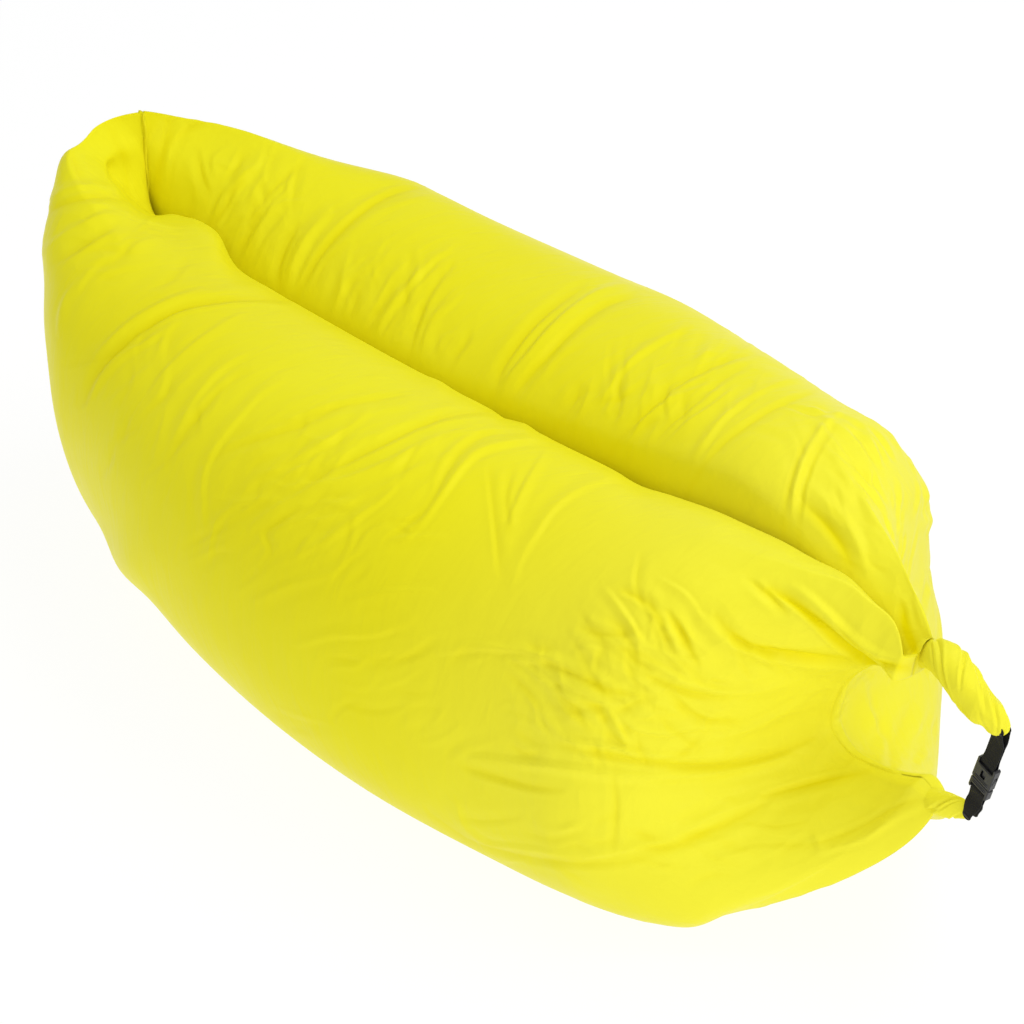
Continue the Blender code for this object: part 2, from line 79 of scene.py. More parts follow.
ahead = (
    -back
    + (512 - AIM_PX[0]) / FOCAL_PX * right_cam
    - (512 - AIM_PX[1]) / FOCAL_PX * up_cam
)
ahead /= np.linalg.norm(ahead)
across = right_cam - ahead * (right_cam @ ahead)
across /= np.linalg.norm(across)
over = np.cross(across, ahead)
camera = bpy.data.objects.new("camera", bpy.data.cameras.new("camera"))
scene.collection.objects.link(camera)
camera.data.sensor_width = 36.0
camera.data.lens = FOCAL_PX * 36.0 / 1024
camera.data.clip_start, camera.data.clip_end = 0.05, 60
camera.matrix_world = Matrix(
    [[across[k], over[k], -ahead[k], eye[k]] for k in range(3)] + [[0, 0, 0, 1]]
)
scene.camera = camera

# ---------------------------------------------------------------- light, floor and view
scene.view_settings.view_transform = "Standard"
scene.view_settings.look = "None"

world = bpy.data.worlds.new("studio")
scene.world = world
world.use_nodes = True
tree = world.node_tree
tree.nodes["Background"].inputs["Color"].default_value = (1.0, 1.0, 1.0, 1)
tree.nodes["Background"].inputs["Strength"].default_value = 0.565


def softbox(name, place, target, width, height, watts, colour=(1, 1, 1)):
    lamp = bpy.data.lights.new(name, "AREA")
    lamp.shape = "RECTANGLE"
    lamp.size, lamp.size_y, lamp.energy, lamp.color = width, height, watts, colour
    obj = bpy.data.objects.new(name, lamp)
    scene.collection.objects.link(obj)
    obj.location = place
    way = Vector(target) - Vector(place)
    obj.rotation_euler = way.to_track_quat("-Z", "Y").to_euler()
    return obj


softbox("overhead", (0.5, 0.9, 3.4), (0, 0, 0.2), 3.2, 2.2, 49, (0.955, 1.0, 1.0))
softbox("front_right", (3.4, -1.6, 2.0), (0.2, 0, 0.3), 1.8, 1.8, 15, (1.0, 0.97, 0.92))
softbox("right", (3.9, -0.1, 1.0), (0.5, 0, 0.3), 1.2, 1.2, 21, (1.0, 0.99, 0.95))


def material(name):
    made = bpy.data.materials.new(name)
    made.use_nodes = True
    return made, made.node_tree.nodes, made.node_tree.links


def noise(nodes, links, where, scale, detail=3.0, rough=0.5, distort=0.0):
    made = nodes.new("ShaderNodeTexNoise")
    made.inputs["Scale"].default_value = scale
    made.inputs["Detail"].default_value = detail
    made.inputs["Roughness"].default_value = rough
    made.inputs["Distortion"].default_value = distort
    links.new(where, made.inputs["Vector"])
    return made


def ramp(nodes, links, value, stops):
    """Colours or greys at places from 0 to 1."""
    made = nodes.new("ShaderNodeValToRGB")
    line = made.color_ramp
    while len(line.elements) < len(stops):
        line.elements.new(0.5)
    for element, (at, colour) in zip(line.elements, stops):
        element.position = at
        element.color = (
            (colour, colour, colour, 1) if isinstance(colour, float) else (*colour, 1)
        )
    links.new(value, made.inputs["Fac"])
    return made


def bump(nodes, links, height, strength, distance, before=None):
    made = nodes.new("ShaderNodeBump")
    made.inputs["Strength"].default_value = strength
    made.inputs["Distance"].default_value = distance
    links.new(height, made.inputs["Height"])
    if before is not None:
        links.new(before, made.inputs["Normal"])
    return made.outputs["Normal"]


def stretched(nodes, links, where, scale):
    made = nodes.new("ShaderNodeMapping")
    made.inputs["Scale"].default_value = scale
    links.new(where, made.inputs["Vector"])
    return made.outputs["Vector"]


def math_node(nodes, links, operation, a, b):
    made = nodes.new("ShaderNodeMath")
    made.operation = operation
    for socket, value in zip(made.inputs, (a, b)):
        if isinstance(value, (int, float)):
            socket.default_value = value
        else:
            links.new(value, socket)
    return made.outputs["Value"]


def weave_height(nodes, links, uv, pitch):
    """Plain weave: threads over and under, from two crossed waves."""
    waves = []
    for direction in ("X", "Y"):
        wave = nodes.new("ShaderNodeTexWave")
        wave.wave_type, wave.bands_direction, wave.wave_profile = "BANDS", direction, "SIN"
        wave.inputs["Scale"].default_value = 0.31416 / pitch
        wave.inputs["Distortion"].default_value = 0.0
        links.new(uv, wave.inputs["Vector"])
        waves.append(wave.outputs["Fac"])
    return math_node(nodes, links, "MULTIPLY", waves[0], waves[1])


# deep is the darker end of the random tone, and also the colour of the painted shade in creases
def cloth_material(name, seed, bright=(0.90, 0.840, 0.016), deep=(0.84, 0.745, 0.003), crumple=1.0):
    made, nodes, links = material(name)
    shader = nodes["Principled BSDF"]
    uv = nodes.new("ShaderNodeUVMap").outputs["UV"]
    place = nodes.new("ShaderNodeTexCoord").outputs["Object"]
    shifted = nodes.new("ShaderNodeMapping")
    shifted.inputs["Location"].default_value = (seed * 1.7, seed * 0.9, seed * 2.3)
    links.new(place, shifted.inputs["Vector"])
    place = shifted.outputs["Vector"]

    broad = noise(nodes, links, place, 2.4, 3.0)
    tone = ramp(
        nodes,
        links,
        broad.outputs["Fac"],
        [
            (0.30, tuple(0.6 * b + 0.4 * d for b, d in zip(bright, deep))),
            (0.62, bright),
        ],
    )
    # painted sheen: a faint whitish tint is added to the colour towards +x, standing in for light from the right
    # glancing off the cloth
    parts = nodes.new("ShaderNodeSeparateXYZ")
    links.new(nodes.new("ShaderNodeTexCoord").outputs["Object"], parts.inputs["Vector"])
    painted_sheen_right = ramp(nodes, links, math_node(nodes, links, "ADD", parts.outputs["X"], 0.5), [(0.72, (0, 0, 0)), (1.0, (0.004, 0.012, 0.024))])
    with_painted_sheen = nodes.new("ShaderNodeMix")
    with_painted_sheen.data_type = "RGBA"
    with_painted_sheen.blend_type = "ADD"
    with_painted_sheen.inputs["Factor"].default_value = 1.0
    links.new(tone.outputs["Color"], with_painted_sheen.inputs[6])
    links.new(painted_sheen_right.outputs["Color"], with_painted_sheen.inputs[7])
    # painted shade: where the fold attribute is high, along creases, the colour is mixed towards the darker, more
    # orange deep yellow
    fold = nodes.new("ShaderNodeAttribute")
    fold.attribute_name = "fold"
    mix = nodes.new("ShaderNodeMix")
    mix.data_type = "RGBA"
    links.new(fold.outputs["Fac"], mix.inputs["Factor"])
    links.new(with_painted_sheen.outputs[2], mix.inputs[6])
    mix.inputs[7].default_value = (*deep, 1)
    links.new(mix.outputs[2], shader.inputs["Base Color"])

    gloss = noise(nodes, links, place, 9.0, 4.0)
    rough = ramp(nodes, links, gloss.outputs["Fac"], [(0.25, 0.32), (0.75, 0.44)])
    links.new(rough.outputs["Color"], shader.inputs["Roughness"])
    shader.inputs["Specular IOR Level"].default_value = 0.05

    # thin coated cloth puckers in short soft ripples, and is crushed into facets where it is gathered
    along = stretched(nodes, links, uv, (1.0, 0.32, 1.0))
    pucker = noise(nodes, links, along, 34.0, 4.0, 0.55, 0.6)
    facets = nodes.new("ShaderNodeTexVoronoi")
    facets.feature = "F1"
    facets.inputs["Scale"].default_value = 17.0
    facets.inputs["Randomness"].default_value = 0.9
    warped = nodes.new("ShaderNodeVectorMath")
    warped.operation = "MULTIPLY_ADD"
    links.new(noise(nodes, links, uv, 9.0, 3.0).outputs["Color"], warped.inputs[0])
    warped.inputs[1].default_value = (0.09, 0.09, 0.09)
    links.new(uv, warped.inputs[2])
    links.new(warped.outputs["Vector"], facets.inputs["Vector"])
    ridges = noise(nodes, links, stretched(nodes, links, warped.outputs["Vector"], (0.55, 1.0, 1.0)), 13.0, 3.0, 0.45)
    ridges.noise_type = "RIDGED_MULTIFRACTAL"
    crush = nodes.new("ShaderNodeAttribute")
    crush.attribute_name = "crush"
    crushed = math_node(nodes, links, "MULTIPLY", facets.outputs["Distance"], crush.outputs["Fac"])
    ridged = math_node(nodes, links, "MULTIPLY", ridges.outputs["Fac"], math_node(nodes, links, "ADD", crush.outputs["Fac"], 0.15))
    normal = bump(nodes, links, pucker.outputs["Fac"], 0.36 * crumple, 0.005)
    normal = bump(nodes, links, crushed, 0.75 * crumple, 0.010, normal)
    normal = bump(nodes, links, ridged, 0.60 * crumple, 0.003, normal)
    normal = bump(nodes, links, weave_height(nodes, links, uv, 0.0009), 0.08, 0.0002, normal)
    links.new(normal, shader.inputs["Normal"])
    return made


# ---------------------------------------------------------------- stations of the sleeves
ROLL_PATH = (
    (0.982, 0.276), (0.954, 0.276), (0.920, 0.270), (0.859, 0.256), (0.792, 0.240),
    (0.738, 0.240), (0.708, 0.264), (0.718, 0.328), (0.765, 0.394), (0.848, 0.440),
    (0.922, 0.458), (0.986, 0.449), (1.018, 0.434), (1.028, 0.413),
)  # fmt: skip
CLOSED_X, CLOSED_TOP = -0.919, 0.562
ARM_ROOTS = (0.085, 0.79)

NEAR = dict(
    cap_len=0.386, out_b=0.260, out_t=0.524, side_b=0.325, side_t=0.530, lean_b=0.270,
    lean_t=0.403, lift=0.014, rise=0.046, a0=0.221, a1=0.263, a2=0.261, a3=0.206,
    h0=0.498, h1=0.501, h2=0.515, h3=0.527, n=2.169, k=0.779, sh0=-0.212, sh1=0.106,
    set=0.141, m_b=0.608, m_m=0.466, m_t=0.383, turn=0.198, ahead=0.422, flare=-0.008,
    mz=-0.017,
)  # fmt: skip
FAR = dict(
    cap_len=0.338, out_b=0.231, out_t=0.373, side_b=0.264, side_t=0.323, lean_b=0.326,
    lean_t=0.147, lift=-0.410, rise=0.070, a0=0.200, a1=0.239, a2=0.238, a3=0.205,
    h0=0.483, h1=0.489, h2=0.525, h3=0.571, n=2.427, k=0.828, sh0=-0.069, sh1=0.182,
    set=0.225, m_b=0.664, m_m=0.430, m_t=0.355, turn=0.138, ahead=0.691, flare=0.098,
    mz=-0.001,
)  # fmt: skip


def smooth_through(at, values, x):
    """Cubic curve through a few stations."""
    at, values = np.array(at, float), np.array(values, float)
    slope = np.gradient(values, at)
    i = np.clip(np.searchsorted(at, x, side="right") - 1, 0, len(at) - 2)
    h = at[i + 1] - at[i]
    t = (x - at[i]) / h
    return (
        (2 * t**3 - 3 * t**2 + 1) * values[i]
        + (t**3 - 2 * t**2 + t) * h * slope[i]
        + (3 * t**2 - 2 * t**3) * values[i + 1]
        + (t**3 - t**2) * h * slope[i + 1]
    )


def eased(value, low, width):
    return low + 0.5 * ((value - low) + np.sqrt((value - low) ** 2 + width**2))


def bridge(start, leave, end, arrive, rings):
    t = np.linspace(0, 1, rings + 1)[1:, None, None]
    return (
        (2 * t**3 - 3 * t**2 + 1) * start
        + (t**3 - 2 * t**2 + t) * leave
        + (3 * t**2 - 2 * t**3) * end
        + (t**3 - t**2) * arrive
    )


class Path:
    """A smooth curve in the plane y = 0, by its share of length."""

    def __init__(self, points):
        points = np.array(points, float)
        at = np.concatenate([[0], np.cumsum(np.linalg.norm(np.diff(points, axis=0), axis=1))])
        fine = np.linspace(0, at[-1], 400)
        self.points = np.stack([smooth_through(at, points[:, k], fine) for k in (0, 1)], axis=1)
        step = np.linalg.norm(np.diff(self.points, axis=0), axis=1)
        self.at = np.concatenate([[0], np.cumsum(step)])
        self.length = self.at[-1]
        self.at /= self.length

    def point(self, share):
        return np.stack([np.interp(share, self.at, self.points[:, k]) for k in (0, 1)], axis=-1)

    def tangent(self, share, reach=0.02):
        way = self.point(np.minimum(share + reach, 1)) - self.point(np.maximum(share - reach, 0))
        return way / np.linalg.norm(way, axis=-1, keepdims=True)

    def inside(self, share, reach=0.02):
        way = self.tangent(share, reach)
        return np.stack([way[..., 1], -way[..., 0]], axis=-1)


roll_path = Path(ROLL_PATH)
COLUMNS, RINGS = 208, 320
GAP, SLOT = 0.0004, 0.010


def spread(count, low, high, sparse):
    """Places from 0 to 1, denser between low and high."""
    t = np.linspace(0, 1, 2001)
    density = sparse + (1 - sparse) / ((1 + np.exp((low - t) / 0.03)) * (1 + np.exp((t - high) / 0.03)))
    total = np.concatenate([[0], np.cumsum(0.5 * (density[1:] + density[:-1]))])
    return np.interp(np.linspace(0, 1, count), total / total[-1], t)


def sleeve(q, shown):
    """Rings of the near sleeve, closed end to mouth. Column 0 is at the bottom, then up the inner side."""
    turn = spread(COLUMNS + 1, *shown, 0.42)[:-1]
    up = np.where(turn <= 0.5, 2 * turn, 2 - 2 * turn)
    outer = turn > 0.5
    side = np.sin(2 * np.pi * turn)
    thin = 1 - side / np.maximum(np.abs(side), 0.35)
    first_x = CLOSED_X + q["cap_len"]
    last_x = roll_path.points[:, 0].min() - q["set"]
    u = np.linspace(0, 1, 120)
    x = first_x + (last_x - first_x) * u
    half = smooth_through((0, 0.33, 0.67, 1), [q["a0"], q["a1"], q["a2"], q["a3"]], u)[:, None]
    height = smooth_through((0, 0.33, 0.67, 1), [q["h0"], q["h1"], q["h2"], q["h3"]], u)[:, None]
    angle = -np.pi / 2 + 2 * np.pi * turn
    c, s = np.cos(angle), np.sin(angle)
    c = np.sign(c) * np.abs(c) ** (2 / q["n"])
    s = np.sign(s) * np.abs(s) ** (2 / q["n"])
    z = height / 2 + (height / 2 + 0.010) * s
    y = half * (c - q["k"])
    y = y + (q["sh0"] + (q["sh1"] - q["sh0"]) * u)[:, None] * (z - height / 2)
    y = -eased(-y, GAP, 0.012)
    z = eased(z, -0.014, 0.016)
    body = np.stack([np.broadcast_to(x[:, None], y.shape), y, z], axis=-1)

    def mixed(low, high, share):
        return low + (high - low) * share

    nothing = 0 * up
    along = (body[1] - body[0]) / (x[1] - x[0])
    end = np.stack(
        [CLOSED_X + nothing, -GAP - 0.0006 * thin, 0.012 + (CLOSED_TOP - 0.012) * up], axis=-1
    )
    sideways = 0.5 * (1 - np.tanh((side + 0.35 - 0.7 * up) / 0.25))
    outer_way = np.stack(
        [mixed(q["lean_b"], q["lean_t"], up**2), 1 + nothing, -q["lift"] * up**3], axis=-1
    )
    arrive = sideways[:, None] * outer_way + (1 - sideways)[:, None] * np.array([-0.45, 0.0, 0.0])
    arrive = arrive * mixed(q["side_b"], q["side_t"], up**2)[:, None]
    out = sideways * mixed(q["out_b"], q["out_t"], up**2) + (1 - sideways) * 0.9 * q["cap_len"]
    leave = -along * out[:, None]
    leave[:, 2] += q["rise"] * up**3 * sideways
    cap = bridge(body[0], leave, end, arrive, 90)[::-1]

    share = ARM_ROOTS[0] + (ARM_ROOTS[1] - ARM_ROOTS[0]) * up
    middle = np.sin(np.pi * up) ** 0.5
    low_end, high_end = np.exp(-((up / 0.09) ** 2)), np.exp(-(((1 - up) / 0.09) ** 2))
    # the outer cloth laps over the roll, and over the first of each arm
    lap = np.where(outer, np.clip(up / 0.05, 0, 1) * np.clip((1 - up) / 0.05, 0, 1), 0.0)
    set_out = -0.010 - 0.007 * low_end - 0.014 * high_end
    over_roll = 0.004 + 0.010 * low_end + 0.014 * high_end
    offset = np.where(outer, set_out + (over_roll - set_out) * lap, -0.010 + 0.014 * middle)
    offset = np.where(outer, offset, offset - 0.007 * low_end - 0.014 * high_end)
    line = roll_path.point(share) + roll_path.inside(share, 0.05) * offset[:, None]
    reach = 0.5 * (SLOT + 0.008 * middle + 0.026 * low_end + 0.040 * high_end)
    mouth = np.stack([line[:, 0], -GAP - reach * thin, line[:, 1]], axis=-1)
    deep = np.sin(np.pi * up) ** 0.6
    out = (
        q["m_m"] + (q["m_b"] - q["m_m"]) * (1 - up) ** 2 + (q["m_t"] - q["m_m"]) * up**2
    )
    sideways = 0.5 * (1 - np.tanh((side + 0.1) / 0.3))
    straight = np.maximum(line[:, 0] - x[-1], 0.05)
    out = sideways * out + (1 - sideways) * np.minimum(straight, out)
    leave = (body[-1] - body[-2]) / (x[-1] - x[-2]) * out[:, None]
    leave[:, 1] += outer * np.sqrt(np.sin(np.pi * up)) * q["flare"]
    leave[:, 2] += outer * q["mz"] * (1 - up)
    square = roll_path.inside(share, 0.06)
    lateral = sideways * deep
    onward = 1 - (1 - q["ahead"]) * lateral
    turn_in = np.stack([square[:, 0] * onward, lateral, square[:, 1] * onward], axis=-1) * q["turn"]
    front = bridge(body[-1], leave, mouth, turn_in, 100)
    # the last millimetres turn in, round the edge of the roll
    hem = []
    for quarter in (0.25, 0.5, 0.75, 1.0):
        ring = mouth.copy()
        bend = math.pi / 2 * quarter
        ring[:, 1] = -GAP + (mouth[:, 1] + GAP) * max(math.cos(bend), 0.0)
        ring[:, [0, 2]] += roll_path.inside(share, 0.05) * 0.006 * math.sin(bend)
        hem.append(ring)
    rings = np.concatenate([cap, body, front, hem])
    rings[1:-1, :, 1] = -eased(-rings[1:-1, :, 1], GAP, 0.001)
    rings[1:-1, :, 2] = eased(rings[1:-1, :, 2], -0.003, 0.006)
    rings[..., 1] = np.minimum(rings[..., 1], -GAP)
    rings[..., 2] = np.maximum(rings[..., 2], 0.0)
    # rings at even steps along the sleeve
    step = np.linalg.norm(np.diff(rings, axis=0), axis=-1).mean(axis=1)
    at = np.concatenate([[0], np.cumsum(step)])
    want = at[-1] * spread(RINGS, 0.60, 1.2, 0.62)
    i = np.clip(np.searchsorted(at, want, side="right") - 1, 0, len(at) - 2)
    t = ((want - at[i]) / (at[i + 1] - at[i]))[:, None, None]
    rings = rings[i] * (1 - t) + rings[i + 1] * t
    rings[..., 0] += SHIFT_X
    return rings


NECK = roll_path.point(np.array(0.80)) + [SHIFT_X, 0.01]

# (middle and radius in the picture, and how far it moves there, in px)
NUDGES = {
    "near": [
        (142, 160, 26, -30, 4), (158, 186, 22, -4, 24), (62, 172, 30, -9, -2), (50, 240, 48, -12, 0),
        (50, 312, 42, -5, 0), (98, 122, 24, 4, 12), (112, 572, 34, -9, 8), (600, 918, 50, 0, -6),
        (690, 926, 30, 4, 6), (640, 480, 40, 0, -2), (720, 516, 45, 2, -6), (790, 548, 45, 3, -8),
        (850, 582, 40, 5, -13), (898, 618, 26, 4, -7),
        (200, 230, 20, 2, -13), (216, 248, 18, 4, -14), (108, 120, 22, 2, 13), (66, 158, 18, -8, -6), (55, 195, 26, -9, 0),
        (45, 235, 30, -6, 0), (108, 119, 16, 1, 9, 0.012), (84, 136, 12, -3, -3), (70, 153, 10, 2, -3), (926, 799, 18, 10, 0), (640, 482, 25, 0, 5), (505, 412, 8, 0, 3), (528, 424, 10, 0, -3), (440, 383, 12, 0, -2),
    ],
    "far": [
        (250, 140, 60, 0, -5), (420, 190, 60, 0, -4), (680, 305, 60, 2, -4), (880, 440, 40, 4, -3),
        (926, 486, 30, 8, -2), (940, 575, 40, -7, 0), (942, 720, 60, -4, 0), (160, 150, 20, 3, 0, 0.15),
    ],
}  # fmt: skip


def neck_shift(points):
    """Above the upper arm's root the parting between the sleeves lies a little to the near side."""
    away = (points[..., 0] - NECK[0]) ** 2 + (points[..., 2] - NECK[1]) ** 2
    return 0.016 * np.exp(-away / 0.075**2)


def nudged(which, grid):
    """The sleeve moved a little, across the view, so that its outline follows the picture's."""
    flat = grid.reshape(-1, 3).copy()
    x, y, depth = projected(flat)
    free = np.clip((flat[:, 0] - SHIFT_X - CLOSED_X) / 0.05, 0, 1)
    free = free * free * (3 - 2 * free)
    moved = np.zeros_like(flat)
    for px, py, radius, dx, dy, *own in NUDGES[which]:
        held = np.clip((flat[:, 0] - SHIFT_X - CLOSED_X) / own[0], 0, 1) if own else free
        weight = np.exp(-(((x - px) ** 2 + (y - py) ** 2) / radius**2)) * held
        moved += (weight * depth / FOCAL_PX)[:, None] * (dx * right_cam - dy * up_cam)
    flat += moved
    out = flat.reshape(grid.shape)
    out[..., 1] = np.minimum(out[..., 1], -GAP) if which == "near" else np.maximum(out[..., 1], GAP)
    out[..., 1] -= neck_shift(out)
    out[..., 2] = np.maximum(out[..., 2], 0)
    return out


def finer(grid):
    """Twice as many rings and columns, on a smooth curve through the old ones."""
    before = np.concatenate([2 * grid[:1] - grid[1:2], grid[:-1]])
    after = np.concatenate([grid[1:], 2 * grid[-1:] - grid[-2:-1]])
    middle = (9 * (grid[:-1] + grid[1:]) - before[:-1] - after[1:]) / 16
    out = np.empty((2 * len(grid) - 1, *grid.shape[1:]))
    out[::2], out[1::2] = grid, middle
    nxt = np.roll(out, -1, axis=1)
    middle = (9 * (out + nxt) - np.roll(out, 1, axis=1) - np.roll(out, -2, axis=1)) / 16
    both = np.empty((out.shape[0], 2 * out.shape[1], 3))
    both[:, ::2], both[:, 1::2] = out, middle
    return both


def normals_of(grid, sign):
    """Outward normals of a grid that is closed around."""
    along = np.gradient(grid, axis=0)
    around = np.roll(grid, -1, axis=1) - np.roll(grid, 1, axis=1)
    normal = np.cross(around, along) * sign
    length = np.linalg.norm(normal, axis=-1, keepdims=True)
    return normal / np.maximum(length, 1e-12)


def softened(field, passes, around=True):
    for _ in range(passes):
        field = 0.5 * field + 0.25 * (np.roll(field, 1, 1) + np.roll(field, -1, 1))
        inner = 0.5 * field[1:-1] + 0.25 * (field[:-2] + field[2:])
        field = np.concatenate([field[:1], inner, field[-1:]])
    return field
